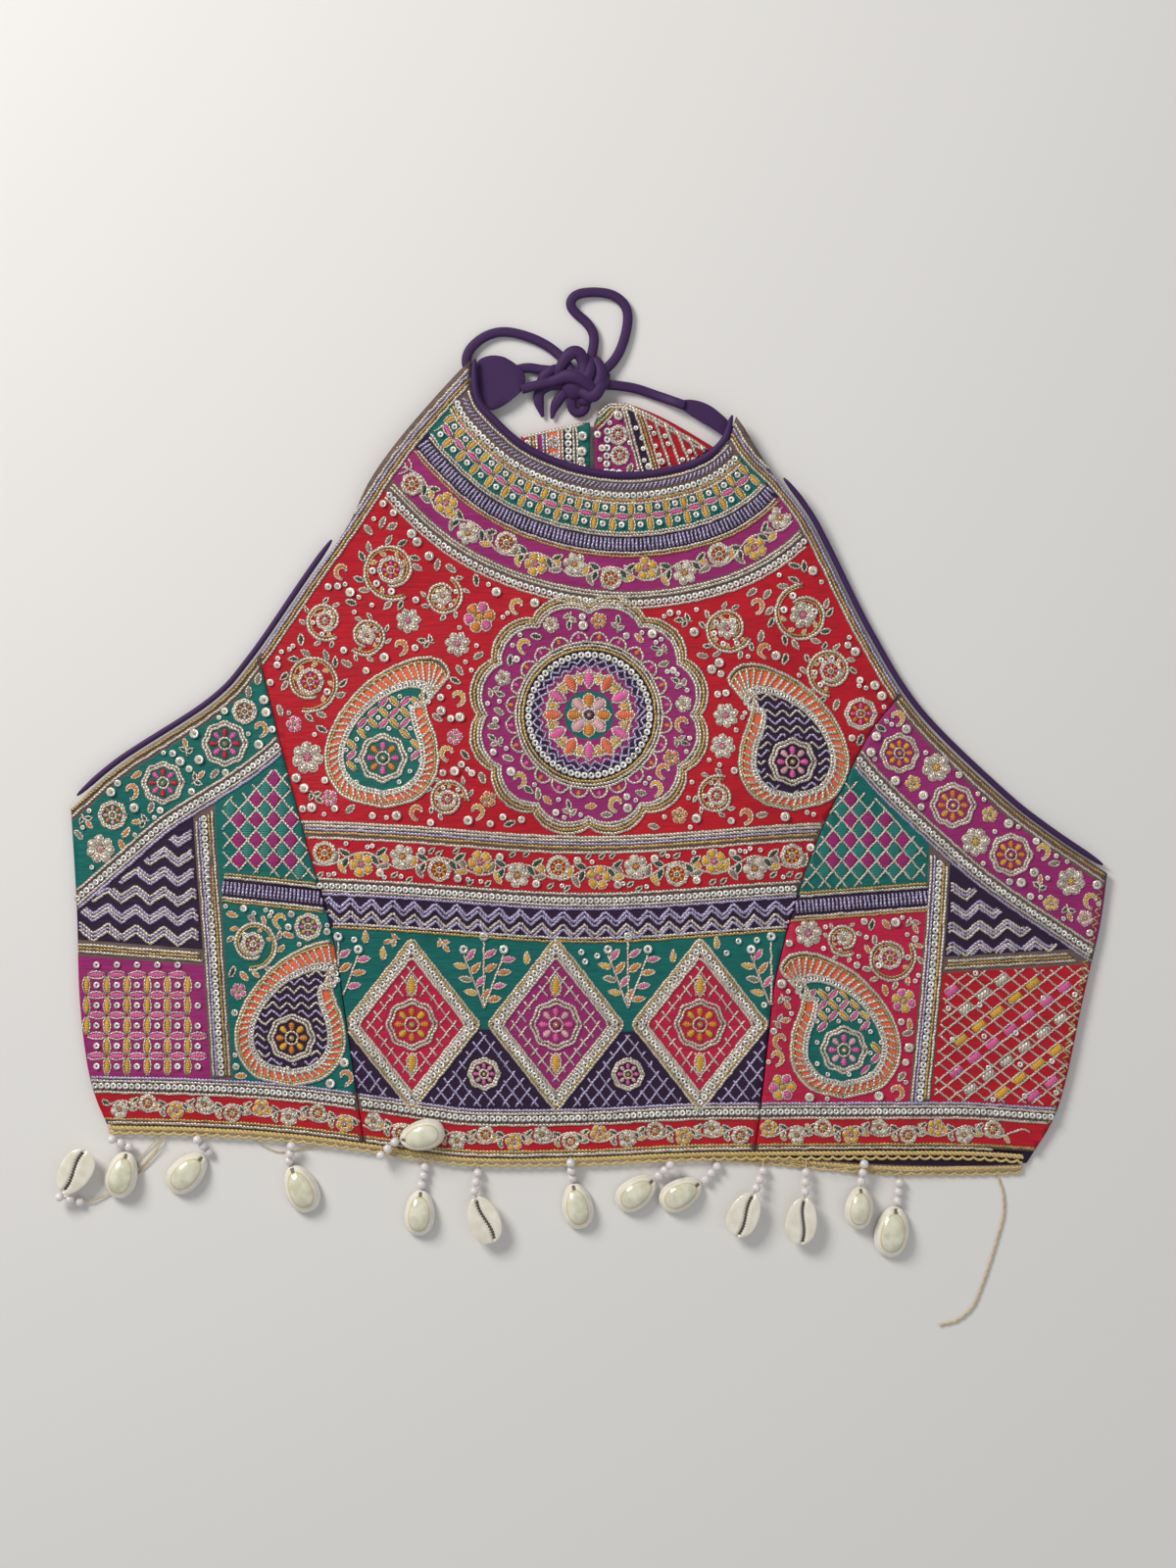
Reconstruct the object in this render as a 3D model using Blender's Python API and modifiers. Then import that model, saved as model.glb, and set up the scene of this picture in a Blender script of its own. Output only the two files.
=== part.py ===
"""Halterneck blouse laid flat on its back, front up, neck towards +Y.

Sizes are in millimetres and become metres where a point is placed. X runs to the
right, Y from hem to neck, Z up from the surface that the blouse lies on.
The front is three panels with princess seams, the back is two panels whose tops are
turned over into the neck. Piping, hem braid, shell drops and the tie are sewn on.
"""

import math

import bmesh
import bpy
from mathutils import Vector

MM = 0.001
# Where the middle of the part's box lies in the layout below, which puts it at the origin
MIDDLE = Vector((0.8, 1.4, 0.0))

# Cloth and trim sizes
WALL = 1.5
SEAM_GAP = 0.3
TAB_WALL = 1.0
PIPING_WIDTH = 3.2
PIPING_LIFT = 1.2
PIPING_EASE = 0.35
BRAID_WALL = 1.4
BRAID_TOP = 1.6
BRAID_VALLEY = 1.1
BRAID_TIP = 2.3
SCALLOP_PITCH = 4.6
TIE_WIDTH = 4.2
TIE_HEIGHT = 3.0
TIE_SPACING = 4.2
PEARL = 3.9
DROP_THREAD = 0.9
TAIL_THREAD = 1.0
THREAD_SPACING = 4.5

# Grid steps of the panels
CENTRE_COLUMNS = 20
SEAM_ROWS = 12
STRAP_ROWS = 9
SIDE_COLUMNS = 8
BACK_COLUMNS = 8
BACK_SIDE_ROWS = 6
BACK_TOP_ROWS = 9
TURN_ROWS = 4
FLAP_ROWS = 5
TAB_COLUMNS = 6
TAB_ROWS = 3
PIPING_STEPS = 26

# Share of a curve's length over which its direction is read
SIDE_STEP = 0.01
# Halvings that find where a hem passes a given x
HALVINGS = 24

# Each outline is a few points, x and y, that a smooth curve passes through.
ARMHOLE_LEFT = (
    (-46.5, 190.0), (-61.5, 173.8), (-79.8, 152.1), (-99.0, 124.2), (-116.9, 99.2),
    (-140.6, 65.0), (-157.7, 46.7), (-194.8, 22.5), (-215.2, 5.4),
)
ARMHOLE_RIGHT = (
    (66.9, 166.0), (74.8, 152.9), (86.5, 141.3), (98.1, 126.3), (107.3, 109.6),
    (124.4, 75.4), (145.2, 42.5), (179.4, 8.8), (199.8, -7.5), (224.0, -23.8),
)
NECK = (
    (-44.1, 190.4), (-44.6, 185.0), (-43.5, 174.2), (-37.3, 165.8), (-22.3, 152.9),
    (-1.0, 144.2), (22.3, 141.3), (46.9, 145.8), (60.3, 155.0), (64.5, 166.6),
)
SIDE_LEFT = (
    (-200.3, -133.4), (-204.5, -124.0), (-208.5, -109.2), (-211.9, -80.8),
    (-213.1, -42.5), (-215.6, 0.0),
)
SIDE_RIGHT = (
    (192.6, -145.0), (197.3, -137.9), (203.1, -125.4), (207.7, -107.5),
    (213.5, -79.6), (220.6, -49.2), (223.6, -27.0),
)
SEAM_LEFT = (
    (-91.5, -141.0), (-96.5, -105.8), (-104.8, -51.7), (-114.0, -19.2),
    (-127.7, 31.7),
)
SEAM_RIGHT = (
    (74.4, -144.6), (79.4, -101.7), (83.5, -68.3), (97.7, -19.6), (121.0, 28.8),
)
HEM_FRONT = (
    (-200.2, -135.4), (-161.9, -136.3), (-123.5, -138.8), (-91.5, -142.9),
    (-66.5, -146.7), (-43.1, -149.2), (4.0, -148.8), (50.6, -146.7),
    (110.6, -146.3), (162.3, -146.3), (190.4, -148.0),
)
HEM_BACK = (
    (-200.2, -134.0), (-123.5, -137.0), (-66.5, -145.0), (4.0, -147.0),
    (45.0, -146.2), (82.0, -148.8), (122.0, -152.6), (162.3, -153.3),
    (190.2, -152.4),
)
BACK_ARMHOLE_LEFT = (
    (-213.6, 3.0), (-160.0, 38.0), (-118.0, 80.0), (-80.0, 124.0), (-50.0, 146.0),
    (-24.4, 158.3),
)
BACK_ARMHOLE_RIGHT = (
    (221.6, -26.5), (180.0, 0.0), (140.0, 38.0), (114.0, 76.0), (96.0, 110.0),
    (76.0, 138.0), (60.0, 152.0),
)
TURN_LEFT = ((-24.4, 158.3), (-10.0, 162.0), (4.4, 164.6))
TURN_RIGHT = ((6.6, 164.0), (13.0, 173.6), (34.0, 167.0), (60.0, 152.0))
CENTRE_BACK = 5.5
CENTRE_BACK_GAP = 1.1

# Where the princess seams meet the armholes, as a share of the armhole from the neck
SEAM_MEETS_LEFT = 0.607
SEAM_MEETS_RIGHT = 0.546
# Above the first share the armhole edge rolls under, below the second it is piped.
ROLL_LEFT = (0.25, 0.37)
ROLL_RIGHT = (0.05, 0.12)
# Armhole piping: how far past the roll it begins, and the share where it ends
PIPING_AFTER_ROLL = 0.01
PIPING_LAST = 0.995
# First and last share of the hems that the braid covers, and the front braid's lift
BRAID_SHARES = {"front": (0.002, 0.996), "back": (0.004, 0.996)}
BRAID_LIFT = 0.1

# Soft rises of the laid front: middle x and y, half widths along x and y, share of full
RISES = (
    (-66.0, -4.0, 44.0, 50.0, 1.00),
    (62.0, 2.0, 44.0, 50.0, 1.00),
    (0.0, -60.0, 120.0, 60.0, 0.35),
)
FRONT_RISE = 5.6
BACK_RISE = 2.2
# The front rides over the turned tops of the back, from the first y to the second.
NECK_RISE = 3.8
NECK_FROM = 90.0
NECK_SPAN = 60.0
# Soft folds of the front: from x and y, to x and y, half width, height
FOLDS = (
    (-196.0, 6.0, -122.0, -12.0, 12.0, 0.9),
    (200.0, -20.0, 122.0, -14.0, 12.0, 0.9),
    (-104.0, -62.0, -93.0, -130.0, 9.0, 0.8),
    (85.0, -62.0, 76.0, -130.0, 9.0, 0.8),
    (-152.0, -56.0, -162.0, -118.0, 14.0, 0.7),
    (152.0, -46.0, 140.0, -126.0, 14.0, 0.8),
    (-12.0, -44.0, 8.0, -116.0, 20.0, 0.7),
)

# Halter tabs: outer edge and inner edge, both from the neck to the tip
TAB_LEFT_OUTER = ((-46.2, 181.0), (-44.6, 189.6), (-38.6, 192.5), (-31.9, 192.1), (-22.8, 185.4))
TAB_LEFT_INNER = ((-43.4, 173.0), (-38.8, 168.6), (-33.6, 170.4), (-29.0, 173.3), (-22.8, 179.0))
TAB_RIGHT_OUTER = ((67.0, 160.0), (62.7, 165.0), (55.2, 171.3), (47.7, 173.8), (42.0, 173.4))
TAB_RIGHT_INNER = ((64.4, 155.6), (57.9, 160.6), (50.4, 164.8), (44.6, 168.6), (42.0, 170.8))
TAB_HEIGHT = 3.4
TAB_RIGHT_SLOPE = 1.4

# Knot of the tie: middle, half sizes, distance of the tubes' ends from it
KNOT = (-1.0, 180.8, 4.7)
KNOT_HALF = (8.2, 8.6, 4.6)
KNOT_CLEAR = 0.55
KNOT_SAMPLES = 400
KNOT_SEGMENTS = 16
KNOT_RINGS = 9
# Furrows of the wraps: share of the radius, how many, how much they lean with height
FURROW_DEPTH = 0.10
FURROW_COUNT = 4
FURROW_LEAN = 5.0

# Routes of the tie in plan, x and y and the height of the tube's middle
TIE_CORD_LEFT = ((-21.8, 178.7, 4.3), (-18.6, 179.6, 4.4), (-15.2, 180.5, 4.5), (-8.0, 182.0, 4.6))
TIE_LOOP_LEFT = (
    (-5.0, 188.0, 3.4), (-7.6, 191.8, 2.2), (-13.6, 196.8, 1.6), (-21.9, 200.7, 1.6),
    (-31.8, 202.8, 1.6), (-40.0, 200.9, 1.6), (-46.6, 195.4, 1.6), (-48.2, 189.6, 1.6),
    (-45.4, 184.8, 1.6), (-38.1, 182.6, 1.6), (-29.8, 185.6, 1.6), (-22.3, 187.6, 1.6),
    (-16.1, 186.6, 1.8), (-11.6, 186.2, 2.4), (-7.0, 184.0, 3.2),
)
TIE_LOOP_UPPER = (
    (2.6, 186.0, 3.4), (4.8, 191.6, 2.2), (6.2, 200.7, 1.6), (3.2, 206.5, 1.6),
    (-1.6, 210.6, 1.7), (-4.2, 214.4, 2.1), (-1.6, 218.4, 2.1), (6.1, 219.6, 1.7),
    (14.6, 218.2, 1.6), (20.0, 212.6, 1.6), (20.0, 204.0, 1.6), (16.8, 194.0, 1.8),
    (12.0, 187.6, 2.6), (6.0, 183.0, 3.6),
)
TIE_CORD_RIGHT = (
    (40.6, 172.5, 4.6), (36.6, 174.2, 2.8), (31.7, 176.0, 1.8), (23.4, 178.8, 1.7),
    (14.0, 180.0, 2.6), (6.0, 180.2, 4.0),
)
TIE_END_LEFT = ((-17.2, 177.4, 1.7), (-17.4, 172.9, 1.6), (-16.4, 169.2, 1.6), (-15.6, 166.6, 1.6))
TIE_END_RIGHT = (
    (-5.4, 178.0, 2.6), (-8.6, 174.4, 1.9), (-10.6, 171.2, 1.6), (-11.4, 168.4, 1.6),
    (-11.8, 165.8, 1.6),
)
TIE_LOOP_LOWER = (
    (-2.8, 176.6, 2.8), (-3.4, 172.0, 1.8), (-3.2, 169.4, 1.6), (-0.6, 168.0, 1.6),
    (2.0, 169.2, 1.6), (2.8, 172.0, 1.8), (2.4, 176.6, 2.8),
)
THREAD_TAIL = (
    (177.7, -156.0, 0.6), (180.0, -163.0, 0.55), (180.2, -172.0, 0.55), (177.6, -182.0, 0.55),
    (174.2, -193.3, 0.55), (170.8, -203.0, 0.55), (166.9, -211.6, 0.55), (160.4, -217.2, 0.55),
    (152.7, -219.2, 0.55),
)

# Drops: first pearl x and y, last pearl x and y, turn of the shell in degrees, its
# length, slit side up or not, height of the first and of the last pearl's middle.
# A shell that lies slit side up rests on its dome, so its drilled end is held higher.
DROPS = (
    (-212.1, -166.5, -220.1, -164.0, 238.0, 20.6, True, 2.0, 5.4),
    (-197.8, -139.5, -191.1, -142.9, 76.0, 20.0, False, 5.6, 3.4),
    (-161.7, -139.7, -157.7, -145.3, 45.0, 20.5, False, 5.6, 2.0),
    (-121.9, -142.4, -123.4, -149.2, 114.0, 21.0, False, 5.6, 2.0),
    (-84.0, -146.2, -78.2, -140.6, 194.0, 19.3, False, 6.0, 6.3),
    (-65.6, -151.6, -67.1, -159.2, 86.0, 19.4, False, 2.0, 2.0),
    (-43.2, -154.0, -44.6, -161.6, 109.0, 20.6, True, 2.4, 5.0),
    (-3.8, -149.5, -3.1, -156.4, 100.0, 19.6, False, 5.6, 2.0),
    (38.4, -150.4, 33.6, -155.4, 37.5, 19.6, False, 5.6, 2.0),
    (58.4, -151.4, 53.4, -157.2, 30.0, 19.6, False, 2.0, 2.0),
    (77.9, -153.4, 74.8, -160.2, 65.0, 19.8, True, 2.4, 5.0),
    (96.0, -153.8, 95.6, -161.8, 82.0, 20.0, True, 3.8, 5.0),
    (120.4, -149.9, 119.5, -157.5, 85.0, 18.0, False, 5.6, 3.8),
    (135.8, -158.4, 134.9, -166.2, 80.0, 21.8, False, 2.0, 2.0),
)
# The first drop hangs on a long thread that runs from the hem under the second shell.
LONG_THREAD = (
    (-177.4, -140.6, 2.6), (-180.4, -146.4, 1.2), (-185.2, -152.6, 0.5),
    (-192.0, -159.0, 0.5), (-199.6, -163.4, 0.6), (-207.0, -166.2, 1.6),
)
# A first pearl higher than this lies on the braid, the others hang just below it.
ON_BRAID = 5.0
BACK_DROP = 14
START_GAP = 0.4
START_LIFT = 1.3
# Turns, in degrees from its middle, of the rings that make a pearl round
PEARL_TURNS = (-68, -24, 24, 68)

# Cowries: width as a share of length, heights over and under the rim, gap to the pearl
SHELL_WIDTH = 0.66
SHELL_DOME = 6.0
SHELL_BASE = 1.3
SHELL_GAP = 0.4
SHELL_CLEAR = 0.15
SHELL_SEGMENTS = 14
SHELL_RINGS = 8
# How full the outline and the dome are, and how much each narrows to the drilled end
OUTLINE_POWER = 0.9
DOME_POWER = 1.2
OUTLINE_TAPER = 0.13
DOME_TAPER = 0.1
SLIT_DEPTH = 1.5
SLIT_LIP = 11.0
SLIT_REACH = 0.3

COLOURS = {
    "front_silk": ((0.45, 0.05, 0.12), 0.55),
    "back_silk": ((0.30, 0.05, 0.16), 0.55),
    "aubergine": ((0.055, 0.017, 0.085), 0.6),
    "braid": ((0.80, 0.66, 0.30), 0.5),
    "pearl": ((0.88, 0.87, 0.85), 0.2),
    "shell": ((0.78, 0.80, 0.68), 0.25),
    "thread": ((0.82, 0.68, 0.42), 0.7),
}


def clear_scene():
    for thing in list(bpy.data.objects):
        bpy.data.objects.remove(thing, do_unlink=True)


def part_collection():
    group = bpy.data.collections.new("halterneck_blouse")
    bpy.context.scene.collection.children.link(group)
    return group


def material(name):
    found = bpy.data.materials.get(name)
    if found:
        return found
    colour, roughness = COLOURS[name]
    made = bpy.data.materials.new(name)
    made.use_nodes = True
    shader = made.node_tree.nodes["Principled BSDF"]
    shader.inputs["Base Color"].default_value = (*colour, 1.0)
    shader.inputs["Roughness"].default_value = roughness
    return made


def add_object(group, name, data, colour):
    thing = bpy.data.objects.new(name, data)
    data.materials.append(material(colour))
    group.objects.link(thing)
    return thing


def placed(point):
    """A point of the layout in metres, from the part's origin."""
    return (Vector(point) - MIDDLE) * MM


# Smooth curves and steps
def ease(t):
    t = min(1.0, max(0.0, t))
    return t * t * (3.0 - 2.0 * t)


def smooth_points(points, steps=12):
    """Points of a Catmull-Rom curve through the given ones, ends included."""
    knots = [Vector(p) for p in points]
    knots = [2 * knots[0] - knots[1], *knots, 2 * knots[-1] - knots[-2]]
    found = []
    for a, b, c, d in zip(knots, knots[1:], knots[2:], knots[3:]):
        for step in range(steps):
            t = step / steps
            found.append(
                0.5 * (2 * b + (c - a) * t + (2 * a - 5 * b + 4 * c - d) * t * t
                       + (3 * b - 3 * c + d - a) * t * t * t)
            )
    found.append(knots[-2])
    return found


class Route:
    """A smooth curve that is read by its share of the length, from 0 to 1."""

    def __init__(self, points):
        self.points = smooth_points(points)
        self.reach = [0.0]
        for a, b in zip(self.points, self.points[1:]):
            self.reach.append(self.reach[-1] + (b - a).length)
        self.length = self.reach[-1]

    def at(self, share):
        want = min(1.0, max(0.0, share)) * self.length
        for i in range(1, len(self.reach)):
            if self.reach[i] >= want:
                break
        step = self.reach[i] - self.reach[i - 1]
        return self.points[i - 1].lerp(self.points[i], (want - self.reach[i - 1]) / step)

    def side(self, share):
        """Unit vector in plan to the left of the way the curve runs."""
        ahead = self.at(share + SIDE_STEP) - self.at(share - SIDE_STEP)
        return Vector((-ahead.y, ahead.x)).normalized()

    def beside(self, share, distance):
        return self.at(share).to_2d() + self.side(share) * distance


ARMHOLES = {"left": Route(ARMHOLE_LEFT), "right": Route(ARMHOLE_RIGHT)}
SIDES = {"left": Route(SIDE_LEFT), "right": Route(SIDE_RIGHT)}
ROLLS = {"left": ROLL_LEFT, "right": ROLL_RIGHT}
MEETS = {"left": SEAM_MEETS_LEFT, "right": SEAM_MEETS_RIGHT}
INWARD = {"left": 1.0, "right": -1.0}


def armhole_inset(which, share):
    """How far the cloth edge lies inside the armhole's outer line."""
    start, full = ROLLS[which]
    return (PIPING_WIDTH + SEAM_GAP) * ease((share - start) / (full - start))


def armhole_edge(which, share):
    return ARMHOLES[which].beside(share, INWARD[which] * armhole_inset(which, share))


SEAMS = {
    "left": Route((*SEAM_LEFT, tuple(armhole_edge("left", SEAM_MEETS_LEFT)))),
    "right": Route((*SEAM_RIGHT, tuple(armhole_edge("right", SEAM_MEETS_RIGHT)))),
}
HEMS = {"front": Route(HEM_FRONT), "back": Route(HEM_BACK)}
NECK_LINE = Route(NECK)
TURNS = {"left": Route(TURN_LEFT), "right": Route(TURN_RIGHT)}
BACK_ARMHOLES = {"left": Route(BACK_ARMHOLE_LEFT), "right": Route(BACK_ARMHOLE_RIGHT)}


def rise_share(x, y):
    total = sum(
        share * math.exp(-(((x - mx) / wx) ** 2) - ((y - my) / wy) ** 2)
        for mx, my, wx, wy, share in RISES
    )
    return min(1.0, total)


def fold_height(x, y):
    total = 0.0
    for x1, y1, x2, y2, width, height in FOLDS:
        along = Vector((x2 - x1, y2 - y1))
        start = Vector((x - x1, y - y1))
        share = min(1.0, max(0.0, start.dot(along) / along.length_squared))
        away = (start - share * along).length
        total += height * math.exp(-((away / width) ** 2))
    return total


def neck_rise(y):
    return NECK_RISE * ease((y - NECK_FROM) / NECK_SPAN)


def front_under(x, y):
    """Height of the front's underside."""
    return WALL + SEAM_GAP + FRONT_RISE * rise_share(x, y) + neck_rise(y) + fold_height(x, y)


def back_under(x, y):
    return BACK_RISE * rise_share(x, y)


# Panels
def blend(bottom, top, left, right, u, v):
    """Point of a surface between four edges, which are functions of u or v."""
    across = (1 - v) * bottom(u) + v * top(u)
    along = (1 - u) * left(v) + u * right(v)
    corners = ((1 - v) * ((1 - u) * bottom(0) + u * bottom(1))
               + v * ((1 - u) * top(0) + u * top(1)))
    return across + along - corners


def meet_ends(edge, start, end):
    """The edge, eased along its length so that it begins and ends where its sides do."""
    return lambda t: edge(t) + (1 - t) * (start - edge(0)) + t * (end - edge(1))


def hem_share(which, x):
    """Share of the hem's length where it passes x."""
    low, high = 0.0, 1.0
    for _ in range(HALVINGS):
        middle = (low + high) / 2
        if HEMS[which].at(middle).x < x:
            low = middle
        else:
            high = middle
    return (low + high) / 2


def cloth(group, name, columns, rows, place, colour, wall=WALL, offset=1.0):
    """A grid whose corners are placed by a function of column and row, with a wall."""
    shape = bmesh.new()
    bmesh.ops.create_grid(shape, x_segments=columns, y_segments=rows, size=0.5)
    for corner in shape.verts:
        column = round((corner.co.x + 0.5) * columns)
        row = round((corner.co.y + 0.5) * rows)
        corner.co = placed(place(column, row))
    data = bpy.data.meshes.new(name)
    shape.to_mesh(data)
    shape.free()
    thing = add_object(group, name, data, colour)
    wall_maker = thing.modifiers.new("wall", "SOLIDIFY")
    wall_maker.thickness = wall * MM
    wall_maker.offset = offset
    return thing


def panel_side(which, row, gap):
    """Left or right edge of the middle panel, up the seam and then the armhole."""
    if row <= SEAM_ROWS:
        return SEAMS[which].beside(row / SEAM_ROWS, gap)
    up = (row - SEAM_ROWS) / STRAP_ROWS
    return armhole_edge(which, MEETS[which] * (1 - up))


def front_centre(group):
    rows = SEAM_ROWS + STRAP_ROWS
    half = SEAM_GAP / 2

    def left(v):
        return panel_side("left", round(v * rows), -half)

    def right(v):
        return panel_side("right", round(v * rows), half)

    foot = [hem_share("front", left(0).x), hem_share("front", right(0).x)]

    def hem(u):
        share = foot[0] + (foot[1] - foot[0]) * u
        return HEMS["front"].beside(share, BRAID_TOP + SEAM_GAP)

    def neck(u):
        return NECK_LINE.beside(u, -(PIPING_WIDTH / 2 + SEAM_GAP + PIPING_EASE))

    bottom = meet_ends(hem, left(0), right(0))
    top = meet_ends(neck, left(1), right(1))

    def place(column, row):
        x, y = blend(bottom, top, left, right, column / CENTRE_COLUMNS, row / rows)
        return x, y, front_under(x, y)

    return cloth(group, "front_centre", CENTRE_COLUMNS, rows, place, "front_silk")


def front_side(group, which):
    seam_gap = INWARD[which] * SEAM_GAP / 2
    outer_first = which == "left"

    def seam(v):
        return SEAMS[which].beside(v, seam_gap)

    def outer(v):
        return SIDES[which].at(v).to_2d()

    foot_seam = hem_share("front", seam(0).x)
    foot_outer = 0.0 if outer_first else 1.0

    def hem(u):
        start, end = (foot_outer, foot_seam) if outer_first else (foot_seam, foot_outer)
        return HEMS["front"].beside(start + (end - start) * u, BRAID_TOP + SEAM_GAP)

    def armhole(u):
        share = u if outer_first else 1 - u
        return armhole_edge(which, 1 + (MEETS[which] - 1) * share)

    left, right = (outer, seam) if outer_first else (seam, outer)
    bottom = meet_ends(hem, left(0), right(0))
    top = meet_ends(armhole, left(1), right(1))

    def place(column, row):
        x, y = blend(bottom, top, left, right, column / SIDE_COLUMNS, row / SEAM_ROWS)
        return x, y, front_under(x, y)

    return cloth(group, f"front_side_{which}", SIDE_COLUMNS, SEAM_ROWS, place, "front_silk")


# Turned top of each back panel: height of the turn over the surface, end of the flap in y
TURN_LOW = 4.4
TURN_PUFF = {"left": 0.2, "right": 2.6}
PUFF_END = 54.0
PUFF_SPAN = 20.0
FLAP_END = 127.0
FLAP_REST = 2.0
FLAP_SETTLE = 16.0
CREASE_FROM = (19.0, 170.0)
CREASE_TO = (40.0, 146.0)
CREASE_STEP = 1.1
CREASE_WIDTH = 6.0
CREASE_FADE = 8.0
# How quickly a shifted corner of a back panel fades into its side
CORNER_POWER = 6


def turn_height(which, x):
    """Height of the turn's top, puffed up where nothing lies on it."""
    return TURN_LOW + TURN_PUFF[which] * ease((PUFF_END - x) / PUFF_SPAN)


def flap_height(which, x, y, away):
    """Middle of the turned flap, higher at the turn than where the front lies on it."""
    high = turn_height(which, x) - WALL / 2
    low = FLAP_REST + WALL / 2
    height = high + (low - high) * ease(away / FLAP_SETTLE)
    if which == "right":
        line = Vector(CREASE_TO) - Vector(CREASE_FROM)
        left_of = line.cross(Vector((x, y)) - Vector(CREASE_FROM)) / line.length
        over = ease((y - CREASE_TO[1]) / CREASE_FADE)
        height -= CREASE_STEP * ease(left_of / CREASE_WIDTH + 0.5) * over
    return height


def back_panel(group, which):
    """A back panel from hem to turn, round the turn, and down the flap."""
    body_rows = BACK_SIDE_ROWS + BACK_TOP_ROWS
    outer_first = which == "left"
    centre_x = CENTRE_BACK - INWARD[which] * CENTRE_BACK_GAP
    turn = TURNS[which]

    def radius(x):
        return (turn_height(which, x) - WALL) / 2

    def turn_edge(u):
        spot = turn.at(u).to_2d()
        return spot - Vector((0.0, WALL / 2 + radius(spot.x)))

    def outer(v):
        row = round(v * body_rows)
        if row <= BACK_SIDE_ROWS:
            return SIDES[which].at(row / BACK_SIDE_ROWS).to_2d()
        return BACK_ARMHOLES[which].at((row - BACK_SIDE_ROWS) / BACK_TOP_ROWS).to_2d()

    def centre(v):
        start = HEMS["back"].at(hem_share("back", centre_x)).y + BRAID_TOP + SEAM_GAP
        end = turn_edge(1 if outer_first else 0)
        return Vector((centre_x, start)).lerp(end, v)

    def hem(u):
        middle = hem_share("back", centre_x)
        start, end = (0.0, middle) if outer_first else (middle, 1.0)
        return HEMS["back"].beside(start + (end - start) * u, BRAID_TOP + SEAM_GAP)

    left, right = (outer, centre) if outer_first else (centre, outer)
    corner_left, corner_right = left(0), right(0)
    if outer_first:
        corner_left = hem(0)
    else:
        corner_right = hem(1)
    bottom = meet_ends(hem, corner_left, corner_right)
    top = meet_ends(turn_edge, turn_edge(0), turn_edge(1))

    def settled(edge, foot, head, v):
        down, up = (1 - v) ** CORNER_POWER, v ** CORNER_POWER
        return edge(v) + down * (foot - edge(0)) + up * (head - edge(1))

    def left_side(v):
        return settled(left, corner_left, top(0), v)

    def right_side(v):
        return settled(right, corner_right, top(1), v)

    def place(column, row):
        u = column / BACK_COLUMNS
        if row <= body_rows:
            x, y = blend(bottom, top, left_side, right_side, u, row / body_rows)
            return x, y, back_under(x, y) + WALL / 2
        x, y = top(u)
        if row <= body_rows + TURN_ROWS:
            angle = math.pi * (row - body_rows) / TURN_ROWS
            height = WALL / 2 + radius(x) * (1 - math.cos(angle))
            return x, y + radius(x) * math.sin(angle), height
        away = (y - FLAP_END) * (row - body_rows - TURN_ROWS) / FLAP_ROWS
        return x, y - away, flap_height(which, x, y - away, away)

    rows = body_rows + TURN_ROWS + FLAP_ROWS
    return cloth(group, f"back_{which}", BACK_COLUMNS, rows, place, "back_silk", offset=0.0)


def neck_tab(group, which, outer_points, inner_points, slope):
    outer, inner = Route(outer_points), Route(inner_points)

    def place(column, row):
        along, across = column / TAB_COLUMNS, row / TAB_ROWS
        spot = inner.at(along).lerp(outer.at(along), across)
        return spot.x, spot.y, TAB_HEIGHT + slope * across * math.sin(math.pi * along)

    name = f"neck_tab_{which}"
    tab = cloth(group, name, TAB_COLUMNS, TAB_ROWS, place, "aubergine", wall=TAB_WALL)
    face_up(tab)
    return tab


def face_up(thing):
    """Turns the faces of an open grid upwards."""
    shape = bmesh.new()
    shape.from_mesh(thing.data)
    shape.normal_update()
    if sum(face.normal.z for face in shape.faces) < 0:
        bmesh.ops.reverse_faces(shape, faces=shape.faces)
    shape.to_mesh(thing.data)
    shape.free()


# Tubes
def tube(group, name, points, width, colour, height=None, smooth=2):
    """A tube along the points, flattened where its height is less than its width."""
    height = height or width
    line = bpy.data.curves.new(name, "CURVE")
    line.dimensions = "3D"
    line.bevel_depth = height / 2 * MM
    line.bevel_resolution = smooth
    line.extrude = (width - height) / 2 * MM
    line.use_fill_caps = True
    spline = line.splines.new("POLY")
    spline.points.add(len(points) - 1)
    for spot, point in zip(spline.points, points):
        spot.co = (*placed(point), 1.0)
        spot.tilt = math.pi / 2 if width > height else 0.0
    return add_object(group, name, line, colour)


def spaced(points, spacing):
    route = Route(points)
    count = max(3, round(route.length / spacing))
    return [route.at(i / count) for i in range(count + 1)]


def neck_piping(group):
    points = []
    for step in range(PIPING_STEPS + 1):
        x, y = NECK_LINE.at(step / PIPING_STEPS).to_2d()
        points.append((x, y, front_under(x, y) + PIPING_LIFT))
    tube(group, "neck_piping", points, PIPING_WIDTH, "aubergine")


def armhole_piping(group, which):
    first = ROLLS[which][1] + PIPING_AFTER_ROLL
    inset = PIPING_WIDTH / 2 - PIPING_EASE
    points = []
    for step in range(PIPING_STEPS + 1):
        share = first + (PIPING_LAST - first) * step / PIPING_STEPS
        x, y = ARMHOLES[which].beside(share, INWARD[which] * inset)
        points.append((x, y, front_under(x, y) + PIPING_LIFT))
    tube(group, f"armhole_piping_{which}", points, PIPING_WIDTH, "aubergine")


def hem_braid(group, which, height):
    """A flat scalloped strip along a hem."""
    hem = HEMS[which]
    first, last = BRAID_SHARES[which]
    count = round(hem.length * (last - first) / SCALLOP_PITCH)

    def place(column, row):
        share = first + (last - first) * column / (2 * count)
        tip = BRAID_VALLEY if column % 2 == 0 else BRAID_TIP
        x, y = hem.beside(share, BRAID_TOP if row else -tip)
        return x, y, height

    cloth(group, f"hem_braid_{which}", 2 * count, 1, place, "braid", wall=BRAID_WALL)


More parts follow.
